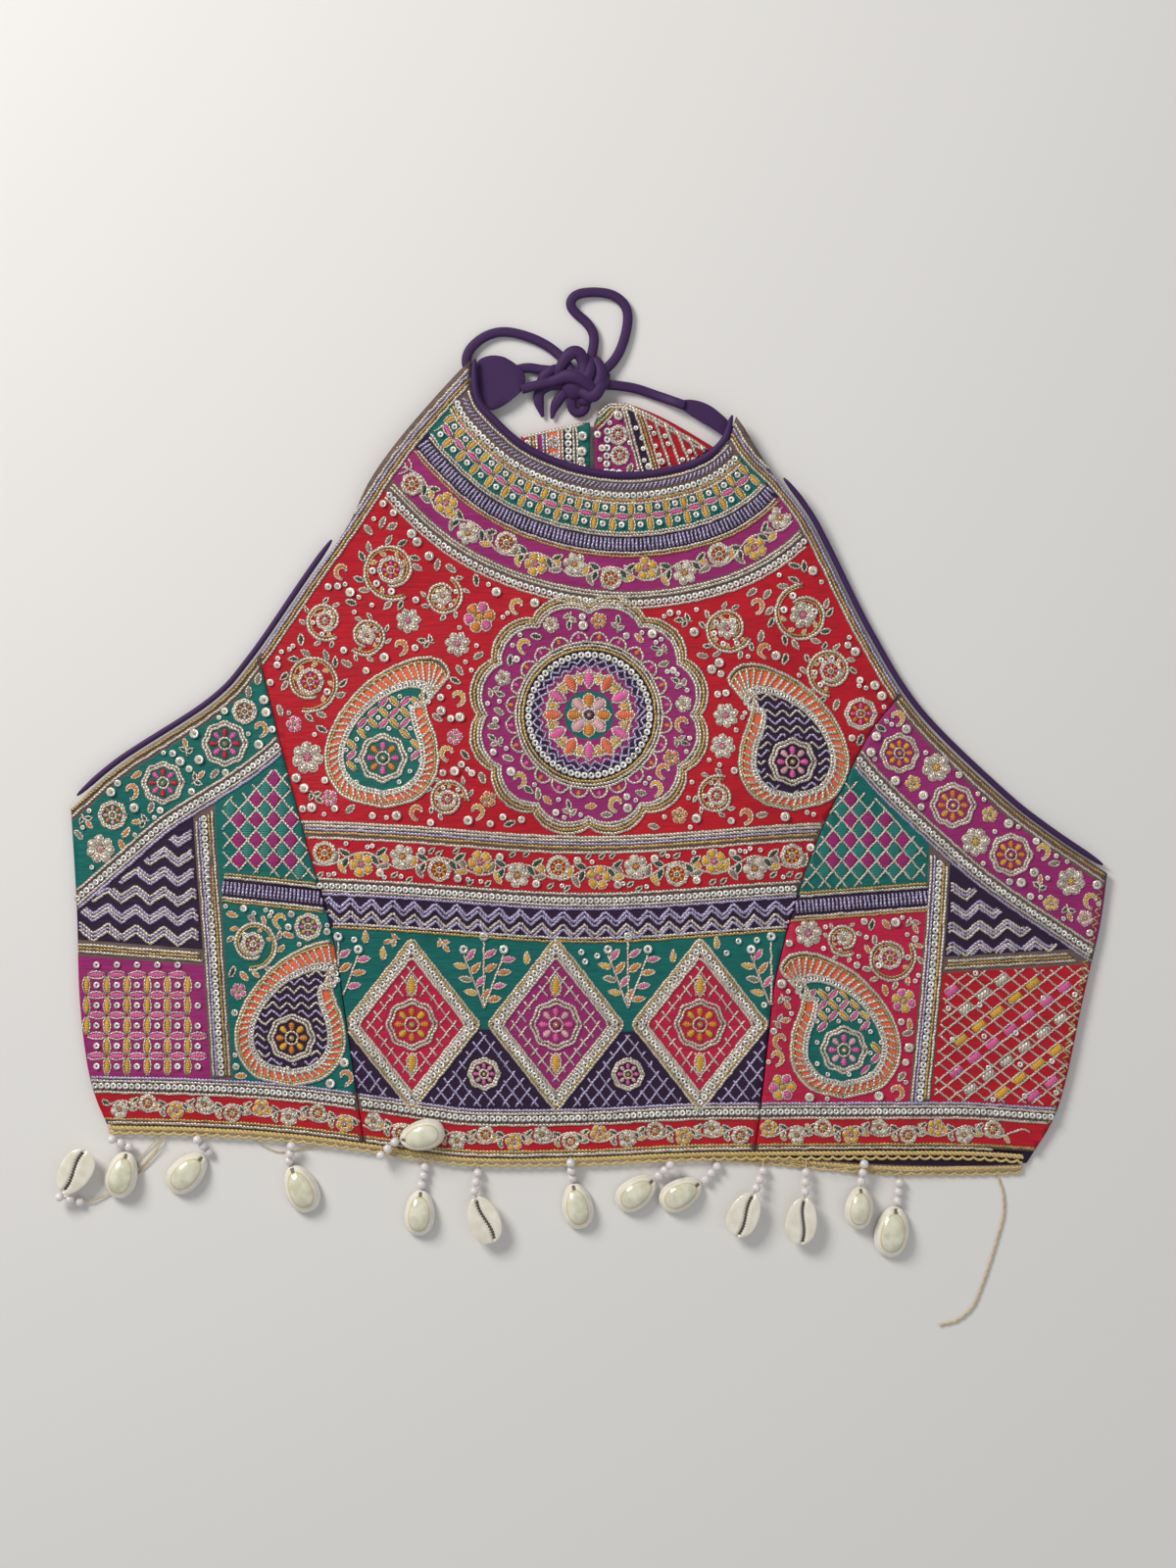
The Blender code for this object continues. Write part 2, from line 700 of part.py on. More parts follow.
# Tie
def outside_knot(point):
    spot = Vector(point) - Vector(KNOT)
    reach = [spot[i] / (KNOT_HALF[i] + KNOT_CLEAR) for i in range(2)]
    return math.hypot(*reach) > 1.0


def tie_piece(group, name, points):
    """A stretch of the tie, as far as the knot."""
    route = Route(points)
    fine = [route.at(i / KNOT_SAMPLES) for i in range(KNOT_SAMPLES + 1)]
    clear = [point for point in fine if outside_knot(point)]
    count = max(3, round(route.length * len(clear) / len(fine) / TIE_SPACING))
    picked = [clear[round(i * (len(clear) - 1) / count)] for i in range(count + 1)]
    tube(group, name, picked, TIE_WIDTH, "aubergine", height=TIE_HEIGHT)


def tie_knot(group):
    """The knot: a squashed ball with the furrows of the wraps round it."""
    shape = bmesh.new()
    bmesh.ops.create_uvsphere(
        shape, u_segments=KNOT_SEGMENTS, v_segments=KNOT_RINGS, radius=1.0
    )
    for corner in shape.verts:
        around = math.atan2(corner.co.y, corner.co.x)
        level = math.hypot(corner.co.x, corner.co.y)
        wave = math.cos(FURROW_COUNT * around + FURROW_LEAN * corner.co.z)
        furrow = 1.0 - FURROW_DEPTH * level * (1.0 + wave) / 2
        corner.co = placed(
            [KNOT[i] + corner.co[i] * KNOT_HALF[i] * furrow for i in range(3)]
        )
    data = bpy.data.meshes.new("tie_knot")
    shape.to_mesh(data)
    shape.free()
    add_object(group, "tie_knot", data, "aubergine")


# Shell drops
def cowrie_mesh(length):
    """A cowrie, length along Y with its drilled end at +Y, slit side down at z = 0."""
    shape = bmesh.new()
    bmesh.ops.create_uvsphere(
        shape, u_segments=SHELL_SEGMENTS, v_segments=SHELL_RINGS, radius=1.0
    )
    half_length, half_width = length / 2, length * SHELL_WIDTH / 2
    for corner in shape.verts:
        along = corner.co.z
        ring = math.sqrt(max(0.0, 1.0 - along * along))
        turn = round(math.atan2(corner.co.y, corner.co.x) / math.tau * SHELL_SEGMENTS)
        turn %= SHELL_SEGMENTS
        if turn == 0:
            angle = -90.0
        else:
            angle = -90.0 + SLIT_LIP + (360.0 - 2 * SLIT_LIP) * (turn - 1) / (SHELL_SEGMENTS - 2)
        angle = math.radians(angle)
        wide = half_width * ring ** OUTLINE_POWER * (1.0 - OUTLINE_TAPER * along)
        x = -wide * math.cos(angle)
        if math.sin(angle) > 0:
            dome = SHELL_DOME * ring ** DOME_POWER * (1.0 - DOME_TAPER * along)
            z = dome * math.sin(angle)
        else:
            z = max(-SHELL_BASE, -2 * SHELL_BASE * ring * -math.sin(angle))
        if turn == 0 and ring > SLIT_REACH:
            z += SLIT_DEPTH
        corner.co = Vector((x, along * half_length, z + SHELL_BASE)) * MM
    data = bpy.data.meshes.new("cowrie")
    shape.to_mesh(data)
    shape.free()
    return data


def shell_middle(drop):
    """Plan position of the shell's middle, from its last pearl and its turn."""
    x, y, turn, length = drop[2], drop[3], math.radians(drop[4]), drop[5]
    reach = length / 2 + PEARL / 2 + SHELL_GAP
    return x - reach * math.cos(turn), y - reach * math.sin(turn)


def cowrie(group, number, drop):
    data = cowrie_mesh(drop[5])
    shell = add_object(group, f"cowrie_{number:02d}", data, "shell")
    x, y = shell_middle(drop)
    slit_up = drop[6]
    height = SHELL_DOME + SHELL_BASE + SHELL_CLEAR if slit_up else drop[8] - PEARL / 2
    shell.location = placed((x, y, height))
    shell.rotation_mode = "YXZ"
    over = math.pi if slit_up else 0.0
    shell.rotation_euler = (0.0, over, math.radians(drop[4] - 90.0))


def drop_start(number, drop):
    """First point of a drop's thread, and its first pearl, just below the braid or on it."""
    x, y, height = drop[0], drop[1], drop[7]
    which = "back" if number == BACK_DROP else "front"
    hem_y = HEMS[which].at(hem_share(which, x)).y
    if height > ON_BRAID:
        start = Vector((x, y + PEARL / 2 + START_GAP, 2 * BRAID_WALL + START_LIFT))
        return start, Vector((x, y, height))
    start_y = hem_y - BRAID_TIP - START_GAP
    start_z = BRAID_WALL if which == "back" else 2 * BRAID_WALL
    pearl_y = min(y, start_y - PEARL / 2 - SEAM_GAP)
    return Vector((x, start_y, start_z)), Vector((x, pearl_y, height))


def pearl_string(group, number, drop):
    """Three pearls and their thread as one swept body, its radius following the pearls."""
    last = Vector((*drop[2:4], drop[8]))
    if number == 1:
        before = spaced(LONG_THREAD, THREAD_SPACING)
        first = Vector((*drop[:2], drop[7]))
    else:
        start, first = drop_start(number, drop)
        before = [start]
    pearls = [first, first.lerp(last, 0.5), last]
    thread, bead = DROP_THREAD / 2, PEARL / 2
    rings = [(spot, thread) for spot in before]
    for pearl, ahead in zip(pearls, (pearls[1] - first, last - first, last - pearls[1])):
        way = ahead.normalized()
        for turn in PEARL_TURNS:
            angle = math.radians(turn)
            radius = max(thread, bead * math.cos(angle))
            rings.append((pearl + way * bead * math.sin(angle), radius))
    line = bpy.data.curves.new(f"pearl_string_{number:02d}", "CURVE")
    line.dimensions = "3D"
    line.bevel_depth = MM
    line.bevel_resolution = 1
    line.use_fill_caps = True
    spline = line.splines.new("POLY")
    spline.points.add(len(rings) - 1)
    for spot, (point, radius) in zip(spline.points, rings):
        spot.co = (*placed(point), 1.0)
        spot.radius = radius
    add_object(group, f"pearl_string_{number:02d}", line, "pearl")


def build():
    clear_scene()
    group = part_collection()
    front_centre(group)
    for which in ("left", "right"):
        front_side(group, which)
        back_panel(group, which)
        armhole_piping(group, which)
    neck_tab(group, "left", TAB_LEFT_OUTER, TAB_LEFT_INNER, 0.0)
    neck_tab(group, "right", TAB_RIGHT_OUTER, TAB_RIGHT_INNER, TAB_RIGHT_SLOPE)
    neck_piping(group)
    hem_braid(group, "front", WALL + SEAM_GAP + BRAID_LIFT)
    hem_braid(group, "back", 0.0)
    tie_piece(group, "tie_cord_left", TIE_CORD_LEFT)
    tie_piece(group, "tie_loop_left", TIE_LOOP_LEFT)
    tie_piece(group, "tie_end_left", TIE_END_LEFT)
    tie_piece(group, "tie_cord_right", TIE_CORD_RIGHT)
    tie_piece(group, "tie_loop_upper", TIE_LOOP_UPPER)
    tie_piece(group, "tie_loop_lower", TIE_LOOP_LOWER)
    tie_piece(group, "tie_end_right", TIE_END_RIGHT)
    tie_knot(group)
    for index, drop in enumerate(DROPS):
        cowrie(group, index + 1, drop)
        pearl_string(group, index + 1, drop)
    tube(group, "thread_tail", spaced(THREAD_TAIL, THREAD_SPACING), TAIL_THREAD, "thread")


build()
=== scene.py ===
"""Halterneck blouse laid flat: silk patchwork with metal-thread embroidery, sequins, piping,
a fabric tie, a hem braid and cowrie drops. Layout sizes are in millimetres."""

import math
import random

import bmesh
import bpy
import numpy as np
from mathutils import Euler, Matrix, Vector
from mathutils.bvhtree import BVHTree
from mathutils.geometry import delaunay_2d_cdt


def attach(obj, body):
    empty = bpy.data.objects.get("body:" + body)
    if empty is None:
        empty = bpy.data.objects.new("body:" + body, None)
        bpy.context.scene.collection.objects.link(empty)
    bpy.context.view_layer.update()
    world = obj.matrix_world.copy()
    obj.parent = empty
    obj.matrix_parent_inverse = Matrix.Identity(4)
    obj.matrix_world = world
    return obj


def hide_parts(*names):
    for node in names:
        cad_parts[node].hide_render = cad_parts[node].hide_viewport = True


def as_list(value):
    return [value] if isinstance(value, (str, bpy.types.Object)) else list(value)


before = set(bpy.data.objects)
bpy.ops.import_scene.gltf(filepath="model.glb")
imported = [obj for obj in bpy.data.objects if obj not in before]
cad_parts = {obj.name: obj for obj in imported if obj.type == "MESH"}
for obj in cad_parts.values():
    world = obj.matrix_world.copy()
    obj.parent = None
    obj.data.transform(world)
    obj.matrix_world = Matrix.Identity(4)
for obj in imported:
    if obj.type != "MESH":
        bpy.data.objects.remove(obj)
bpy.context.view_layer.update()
random.seed(7)

MM = 0.001
MIDDLE = Vector((0.8, 1.4, 0.0))
WALL = 1.5
SEAM_GAP = 0.3
PIPING_WIDTH = 3.2
ARM_PIPING_WIDTH = 2.6
PIPING_LIFT = 1.2
TIE_WIDTH = 4.2
TIE_HEIGHT = 3.0
PEARL = 3.9
DOME = 6.0
BELLY = 1.3
CORD_PITCH = 1.45
SCALLOP = 4.6
SCALLOP_STEP = 0.46
SEQUIN_SIDES = 8

# How near the neck line an outline's points belong to its neck edge
NECK_GAP = 2.4

# The camera's height and how much it sees from top to bottom, in metres, and its film in mm
CAMERA_HEIGHT = 1.1
FILM = 36.0
SEEN_HEIGHT = 0.6667

VINE_LEAVES = ("bottle", "drab", "bottle", "mustard")

# Lines of the laid blouse, x and y
NECK = (
    (-44.1, 190.4), (-44.6, 185.0), (-43.5, 174.2), (-37.3, 165.8), (-22.3, 152.9),
    (-1.0, 144.2), (22.3, 141.3), (46.9, 145.8), (60.3, 155.0), (64.5, 166.6),
)
ARMHOLE_LEFT = (
    (-46.5, 190.0), (-61.5, 173.8), (-79.8, 152.1), (-99.0, 124.2), (-116.9, 99.2),
    (-140.6, 65.0), (-157.7, 46.7), (-194.8, 22.5), (-215.2, 5.4),
)
ARMHOLE_RIGHT = (
    (66.9, 166.0), (74.8, 152.9), (86.5, 141.3), (98.1, 126.3), (107.3, 109.6),
    (124.4, 75.4), (145.2, 42.5), (179.4, 8.8), (199.8, -7.5), (224.0, -23.8),
)
HEM_FRONT = (
    (-200.2, -135.4), (-161.9, -136.3), (-123.5, -138.8), (-91.5, -142.9),
    (-66.5, -146.7), (-43.1, -149.2), (4.0, -148.8), (50.6, -146.7),
    (110.6, -146.3), (162.3, -146.3), (190.4, -148.0),
)
HEM_BACK = (
    (-200.2, -134.0), (-123.5, -137.0), (-66.5, -145.0), (4.0, -147.0),
    (45.0, -146.2), (82.0, -148.8), (122.0, -152.6), (162.3, -153.3),
    (190.2, -152.4),
)

# Soft rises and folds of the laid front, as its solids have them
RISES = (
    (-66.0, -4.0, 44.0, 50.0, 1.00),
    (62.0, 2.0, 44.0, 50.0, 1.00),
    (0.0, -60.0, 120.0, 60.0, 0.35),
)
FRONT_RISE = 5.6
NECK_RISE = 3.8
NECK_FROM = 90.0
NECK_SPAN = 60.0
FOLDS = (
    (-196.0, 6.0, -122.0, -12.0, 12.0, 0.9),
    (200.0, -20.0, 122.0, -14.0, 12.0, 0.9),
    (-104.0, -62.0, -93.0, -130.0, 9.0, 0.8),
    (85.0, -62.0, 76.0, -130.0, 9.0, 0.8),
    (-152.0, -56.0, -162.0, -118.0, 14.0, 0.7),
    (152.0, -46.0, 140.0, -126.0, 14.0, 0.8),
    (-12.0, -44.0, 8.0, -116.0, 20.0, 0.7),
)

# Knot and tie, the middle of the tube
KNOT = Vector((-1.0, 180.8, 4.7))
TIE_CORD_LEFT = (
    (-24.6, 178.0, 4.2), (-21.8, 178.7, 4.3), (-18.6, 179.6, 4.4), (-15.2, 180.5, 4.5),
    (-8.0, 182.0, 4.6),
)
TIE_LOOP_LEFT = (
    (-5.0, 188.0, 3.4), (-7.6, 191.8, 2.2), (-13.6, 196.8, 1.6), (-21.9, 200.7, 1.6),
    (-31.8, 202.8, 1.6), (-40.0, 200.9, 1.6), (-46.6, 195.4, 1.6), (-48.2, 189.6, 1.6),
    (-45.4, 184.8, 1.6), (-38.1, 182.6, 1.6), (-29.8, 185.6, 1.6), (-22.3, 187.6, 1.6),
    (-16.1, 186.6, 1.8), (-11.6, 186.2, 2.4), (-7.0, 184.0, 3.2),
)
TIE_LOOP_UPPER = (
    (2.6, 186.0, 3.4), (4.8, 191.6, 2.2), (6.2, 200.7, 1.6), (3.2, 206.5, 1.6),
    (-1.6, 210.6, 1.7), (-4.2, 214.4, 2.1), (-1.6, 218.4, 2.1), (6.1, 219.6, 1.7),
    (14.6, 218.2, 1.6), (20.0, 212.6, 1.6), (20.0, 204.0, 1.6), (16.8, 194.0, 1.8),
    (12.0, 187.6, 2.6), (6.0, 183.0, 3.6),
)
TIE_CORD_RIGHT = (
    (44.2, 171.2, 4.6), (40.6, 172.5, 4.6), (36.6, 174.2, 2.8), (31.7, 176.0, 1.8),
    (23.4, 178.8, 1.7), (14.0, 180.0, 2.6), (6.0, 180.2, 4.0),
)
TIE_END_LEFT = ((-17.2, 177.4, 1.7), (-17.4, 172.9, 1.6), (-16.4, 169.2, 1.6), (-15.6, 166.6, 1.6))
TIE_END_RIGHT = (
    (-5.4, 178.0, 2.6), (-8.6, 174.4, 1.9), (-10.6, 171.2, 1.6), (-11.4, 168.4, 1.6),
    (-11.8, 165.8, 1.6),
)
TIE_LOOP_LOWER = (
    (-2.8, 176.6, 2.8), (-3.4, 172.0, 1.8), (-3.2, 169.4, 1.6), (-0.6, 168.0, 1.6),
    (2.0, 169.2, 1.6), (2.8, 172.0, 1.8), (2.4, 176.6, 2.8),
)
THREAD_TAIL = (
    (177.7, -156.0, 0.6), (180.0, -163.0, 0.55), (180.2, -172.0, 0.55), (177.6, -182.0, 0.55),
    (174.2, -193.3, 0.55), (170.8, -203.0, 0.55), (166.9, -211.6, 0.55), (160.4, -217.2, 0.55),
    (152.7, -219.2, 0.55),
)

# Drops: first pearl x and y, last pearl x and y, turn of the shell, its length, slit up
# or not, height of the first and of the last pearl's middle
DROPS = (
    (-212.1, -166.5, -220.1, -164.0, 238.0, 20.6, True, 2.0, 5.4),
    (-197.8, -139.5, -191.1, -142.9, 76.0, 20.0, False, 5.6, 3.4),
    (-161.7, -139.7, -157.7, -145.3, 45.0, 20.5, False, 5.6, 2.0),
    (-121.9, -142.4, -123.4, -149.2, 114.0, 21.0, False, 5.6, 2.0),
    (-84.0, -146.2, -78.2, -140.6, 194.0, 19.3, False, 6.0, 6.3),
    (-65.6, -151.6, -67.1, -159.2, 86.0, 19.4, False, 2.0, 2.0),
    (-43.2, -154.0, -44.6, -161.6, 109.0, 20.6, True, 2.4, 5.0),
    (-3.8, -149.5, -3.1, -156.4, 100.0, 19.6, False, 5.6, 2.0),
    (38.4, -150.4, 33.6, -155.4, 37.5, 19.6, False, 5.6, 2.0),
    (58.4, -151.4, 53.4, -157.2, 30.0, 19.6, False, 2.0, 2.0),
    (77.9, -153.4, 74.8, -160.2, 65.0, 19.8, True, 2.4, 5.0),
    (96.0, -153.8, 95.6, -161.8, 82.0, 20.0, True, 3.8, 5.0),
    (120.4, -149.9, 119.5, -157.5, 85.0, 18.0, False, 5.6, 3.8),
    (135.8, -158.4, 134.9, -166.2, 80.0, 21.8, False, 2.0, 2.0),
)
LONG_THREAD = (
    (-177.4, -140.6, 2.6), (-180.4, -146.4, 1.2), (-185.2, -152.6, 0.5),
    (-192.0, -159.0, 0.5), (-199.6, -163.4, 0.6), (-207.0, -166.2, 1.6),
)


def rgb(red, green, blue):
    """A display colour from 0 to 255 as the light that a shader takes."""
    linear = []
    for value in (red, green, blue):
        value /= 255
        linear.append(value / 12.92 if value <= 0.04045 else ((value + 0.055) / 1.055) ** 2.4)
    return (*linear, 1.0)


GROUNDS = {
    "scarlet": rgb(182, 8, 32),
    "magenta": rgb(150, 34, 106),
    "teal": rgb(0, 100, 94),
    "aubergine": rgb(40, 16, 50),
    "taupe": rgb(104, 84, 78),
    "apricot": rgb(232, 104, 66),
    "rose": rgb(186, 20, 66),
}
SATINS = {
    "coral": rgb(240, 110, 70),
    "orange": rgb(226, 136, 38),
    "mustard": rgb(232, 178, 52),
    "bottle": rgb(20, 66, 46),
    "pink": rgb(234, 100, 168),
    "blush": rgb(240, 178, 186),
    "sea": rgb(20, 128, 120),
    "ivory": rgb(230, 222, 200),
    "drab": rgb(140, 128, 112),
    "plum": rgb(66, 32, 86),
    "red": rgb(206, 24, 52),
}
THREADS = {
    "silver": rgb(216, 205, 190),
    "gold": rgb(196, 164, 104),
    "lilac": rgb(186, 176, 208),
}


# Points, curves and steps
def placed(point):
    return (Vector(point) - MIDDLE) * MM


def reach_of(line):
    """How far along the line each of its points is."""
    return np.concatenate([[0], np.cumsum(np.linalg.norm(np.diff(line, axis=0), axis=1))])


def length_of(line):
    """Length in metres of a line in millimetres."""
    return float(np.linalg.norm(np.diff(line, axis=0), axis=1).sum()) * MM


def between_knots(a, b, c, d, t):
    """The point at t on a Catmull-Rom curve from b to c."""
    return 0.5 * (2 * b + (c - a) * t + (2 * a - 5 * b + 4 * c - d) * t * t
                  + (3 * b - 3 * c + d - a) * t ** 3)


def leftward(line):
    """The closed line, turned round if it runs clockwise."""
    x, y = line[:, 0], line[:, 1]
    return line[::-1] if np.sum(x * np.roll(y, -1) - np.roll(x, -1) * y) < 0 else line


def heading(step):
    """Direction of a step in plan, in degrees."""
    return math.degrees(math.atan2(step[1], step[0]))


def smooth(points, step=1.5):
    """Points about a step apart on a Catmull-Rom curve through the given ones."""
    knots = [np.array(p, float) for p in points]
    knots = [2 * knots[0] - knots[1], *knots, 2 * knots[-1] - knots[-2]]
    found = [between_knots(*four, t) for four in zip(knots, knots[1:], knots[2:], knots[3:])
             for t in np.arange(12) / 12]
    return spaced(np.array([*found, knots[-2]]), step)


def spaced(points, step):
    """The same line with its points evenly spaced, about a step apart."""
    points = np.asarray(points, float)
    reach = reach_of(points)
    wanted = np.linspace(0, reach[-1], max(2, round(reach[-1] / step) + 1))
    return np.stack([np.interp(wanted, reach, points[:, i]) for i in range(points.shape[1])], 1)


def ways(points):
    """Unit direction at each point of a line in plan, and the side to its left."""
    ahead = np.gradient(points[:, :2], axis=0)
    ahead /= np.maximum(np.linalg.norm(ahead, axis=1, keepdims=True), 1e-9)
    return ahead, np.stack([-ahead[:, 1], ahead[:, 0]], 1)


def beside(points, distance):
    return points[:, :2] + ways(points)[1] * np.reshape(distance, (-1, 1))


def ease(t):
    t = np.clip(t, 0.0, 1.0)
    return t * t * (3.0 - 2.0 * t)


def rise_share(x, y):
    total = sum(share * np.exp(-(((x - mx) / wx) ** 2) - ((y - my) / wy) ** 2)
                for mx, my, wx, wy, share in RISES)
    return np.minimum(1.0, total)


def fold_height(x, y):
    total = 0.0
    for x1, y1, x2, y2, width, height in FOLDS:
        across, up = x2 - x1, y2 - y1
        share = np.clip(((x - x1) * across + (y - y1) * up) / (across ** 2 + up ** 2), 0.0, 1.0)
        away = np.hypot(x - x1 - share * across, y - y1 - share * up)
        total = total + height * np.exp(-((away / width) ** 2))
    return total


def front_under(x, y):
    return (WALL + SEAM_GAP + FRONT_RISE * rise_share(x, y)
            + NECK_RISE * ease((y - NECK_FROM) / NECK_SPAN) + fold_height(x, y))


def ripple(x, y):
    """Slight unevenness of closely stitched silk."""
    return (0.30 * np.sin(x / 15 + 1.4 * np.sin(y / 24)) * np.sin(y / 19 + 0.7)
            + 0.19 * np.sin(x / 7 + y / 11) * np.sin(y / 8 - x / 21))


def front_top(x, y):
    return front_under(x, y) + WALL + ripple(x, y)


def inside(points, outline):
    """Which of the points lie inside a closed outline in plan."""
    ax, ay = outline[:, 0][None], outline[:, 1][None]
    bx, by = np.roll(ax, -1, 1), np.roll(ay, -1, 1)
    slope = np.where(by == ay, 1.0, by - ay)
    found = []
    for part in np.array_split(points, len(points) // 4000 + 1):
        x, y = part[:, 0][:, None], part[:, 1][:, None]
        crossed = ((ay > y) != (by > y)) & (x < (bx - ax) * (y - ay) / slope + ax)
        found.append(crossed.sum(1) % 2 == 1)
    return np.concatenate(found)


def in_scene(thing):
    bpy.context.scene.collection.objects.link(thing)
    return thing


def ridden(thing):
    """An object fixed to the blouse's one body."""
    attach(thing, "root")
    return thing


def replaced(thing, *nodes):
    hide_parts(*nodes)
    return thing


# Camera, floor and lights
def look():
    """The camera straight above the blouse."""
    target = placed((3.54, 10.83, 0.0))
    view = bpy.data.cameras.new("camera")
    view.sensor_fit = "VERTICAL"
    view.sensor_height = FILM
    view.lens = FILM * CAMERA_HEIGHT / SEEN_HEIGHT
    camera = in_scene(bpy.data.objects.new("camera", view))
    camera.location = (target.x, target.y, CAMERA_HEIGHT)
    bpy.context.scene.camera = camera


def lamp(name, size, power, place, colour=(1.0, 1.0, 1.0)):
    light = bpy.data.lights.new(name, "AREA")
    light.size = size
    light.energy = power
    light.color = colour
    thing = in_scene(bpy.data.objects.new(name, light))
    thing.location = place
    thing.rotation_euler = (-Vector(place)).to_track_quat("-Z", "Y").to_euler()


look()


# Materials
class Wire:
    """A number in a material's nodes that can be used in sums."""

    def __init__(self, finish, socket):
        self.finish, self.socket = finish, socket

    def sum(self, operation, first, second=0.0):
        return self.finish.node("ShaderNodeMath", {"operation": operation}, {0: first, 1: second})

    def __add__(self, other):
        return self.sum("ADD", self, other)

    def __sub__(self, other):
        return self.sum("SUBTRACT", self, other)

    def __rsub__(self, other):
        return self.sum("SUBTRACT", other, self)

    def __mul__(self, other):
        return self.sum("MULTIPLY", self, other)

    def __gt__(self, other):
        return self.sum("GREATER_THAN", self, other)

    def __lt__(self, other):
        return self.sum("LESS_THAN", self, other)

    def __pow__(self, other):
        return self.sum("POWER", self, other)

    def wave(self):
        """Sine of the number, from 0 to 1."""
        return self.sum("SINE", self) * 0.5 + 0.5

    def over(self, low, high):
        """The number's way from low to high, from 0 to 1."""
        return self.finish.node("ShaderNodeMapRange", {"clamp": True},
                                {0: self, 1: low, 2: high, 3: 0.0, 4: 1.0})

    __radd__ = __add__
    __rmul__ = __mul__


class Finish:
    """The nodes of one material."""

    def __init__(self, name, **fixed):
        self.material = bpy.data.materials.new(name)
        self.material.use_nodes = True
        self.tree = self.material.node_tree
        self.shader = self.tree.nodes["Principled BSDF"]
        for socket, value in fixed.items():
            self.shader.inputs[socket.replace("_", " ")].default_value = value

    def node(self, kind, settings=None, sockets=None, output=0):
        made = self.tree.nodes.new(kind)
        for key, value in (settings or {}).items():
            setattr(made, key, value)
        for key, value in (sockets or {}).items():
            if isinstance(value, Wire):
                self.tree.links.new(value.socket, made.inputs[key])
            else:
                made.inputs[key].default_value = value
        return Wire(self, made.outputs[output])

    def own(self, name):
        """The three numbers of a piece's own attribute."""
        vector = self.node("ShaderNodeAttribute", {"attribute_name": name}, output="Vector")
        return [self.node("ShaderNodeSeparateXYZ", None, {0: vector}, i) for i in range(3)]

    def noise(self, scale, detail=3.0, stretch=(1.0, 1.0, 1.0)):
        place = self.node("ShaderNodeTexCoord", output="Object")
        vector = self.node("ShaderNodeMapping", None, {"Vector": place, "Scale": stretch})
        return self.node("ShaderNodeTexNoise", None,
                         {"Vector": vector, "Scale": scale, "Detail": detail})

    def mix(self, share, first, second):
        return self.node("ShaderNodeMix", {"data_type": "RGBA"},
                         {"Factor": share, 6: first, 7: second}, 2)

    def bump(self, height, strength, distance):
        normal = self.node("ShaderNodeBump", None,
                           {"Height": height, "Strength": strength, "Distance": distance})
        self.feed("Normal", normal)

    def feed(self, socket, wire):
        self.tree.links.new(wire.socket, self.shader.inputs[socket])


def shade(colour, times):
    """A colour made darker or lighter."""
    return (*(min(1.0, c * times) for c in colour[:3]), 1.0)


def slub_silk(name, colour):
    """Plain silk with thick and thin threads across it."""
    made = Finish(name, Roughness=0.6, Sheen_Weight=0.06, Sheen_Roughness=0.4,
                  Specular_IOR_Level=0.3)
    slubs = made.noise(900.0, 4.0, (0.18, 1.6, 1.0))
    puckers = made.noise(330.0, 2.0, (0.3, 1.6, 1.0))
    cloudy = made.noise(60.0, 2.0)
    # The slubs and the cloudy tone are the silk's own; the puckers' part is painted shade, darker
    # in their hollows.
    share = slubs.over(0.35, 0.68) * 0.55 + puckers.over(0.3, 0.7) * 0.2
    share = share + cloudy.over(0.3, 0.7) * 0.25
    made.feed("Base Color", made.mix(share, shade(colour, 0.70), shade(colour, 1.24)))
    made.bump(slubs * 0.35 + puckers * 0.65, 0.6, 0.0008)
    return made.material


def plain_silk(name, colour):
    """Fine plain weave of the piping, tie and facing."""
    made = Finish(name, Roughness=0.62, Sheen_Weight=0.12, Sheen_Roughness=0.35,
                  Specular_IOR_Level=0.3)
    weave = made.noise(2600.0, 2.0)
    cloudy = made.noise(140.0, 2.0)
    made.feed("Base Color", made.mix(weave.over(0.3, 0.7) * 0.6 + cloudy * 0.4,
                                     shade(colour, 0.7), shade(colour, 1.35)))
    made.bump(weave, 0.3, 0.0002)
    return made.material


def metal_thread(name, colour):
    """Fine metal strip wound on thread, twisted into a cord, with painted shade and painted glints
    in its colour.
    """
    made = Finish(name, Metallic=0.55)
    along, around, odd = made.own("thread")
    # Painted shade and painted highlight: darker in the grooves of the twist, lighter on its
    # ridges.
    twist = (along * 4.2 + around * 6.2832).wave()
    # Painted glints: bright specks of painted highlight in the colour.
    glint = made.noise(2200.0, 2.0)
    dull = made.noise(330.0, 2.0)
    # The dull patches and each cord's odd number are the thread's own tone; the twist and glint
    # parts are painted shade and highlight.
    share = twist * 0.34 + glint.over(0.42, 0.6) * 0.34 + dull.over(0.35, 0.62) * 0.2 + odd * 0.12
    made.feed("Base Color", made.mix(share, shade(colour, 0.26), shade(colour, 1.45)))
    made.feed("Roughness", glint * 0.3 + 0.2 + odd * 0.08)
    made.bump(twist, 0.6, 0.0003)
    return made.material


def satin(name, colour):
    """Satin stitch: close floss threads side by side, with painted shade between the threads."""
    made = Finish(name, Roughness=0.42, Sheen_Weight=0.05)
    along, across, odd = made.own("thread")
    # Painted shade between the floss threads, lighter along each thread; strands and odd are the
    # floss's own tone.
    floss = (along * 6.6 + across * 1.2).wave()
    strands = made.noise(1500.0, 2.0)
    share = floss * 0.42 + strands.over(0.35, 0.65) * 0.36 + odd * 0.22
    made.feed("Base Color", made.mix(share, shade(colour, 0.45), shade(colour, 1.22)))
    made.bump(floss * 0.7 + strands * 0.3, 0.8, 0.0004)
    return made.material


def sequin_film(name, colour, metal):
    """Thin coated film, a little lighter or darker from one sequin to the next."""
    made = Finish(name, Metallic=metal, Coat_Weight=0.6, Coat_Roughness=0.08)
    odd = made.noise(260.0, 1.0)
    made.feed("Base Color", made.mix(odd.over(0.35, 0.65), shade(colour, 0.75), shade(colour, 1.1)))
    made.feed("Roughness", odd * 0.25 + 0.08)
    return made.material


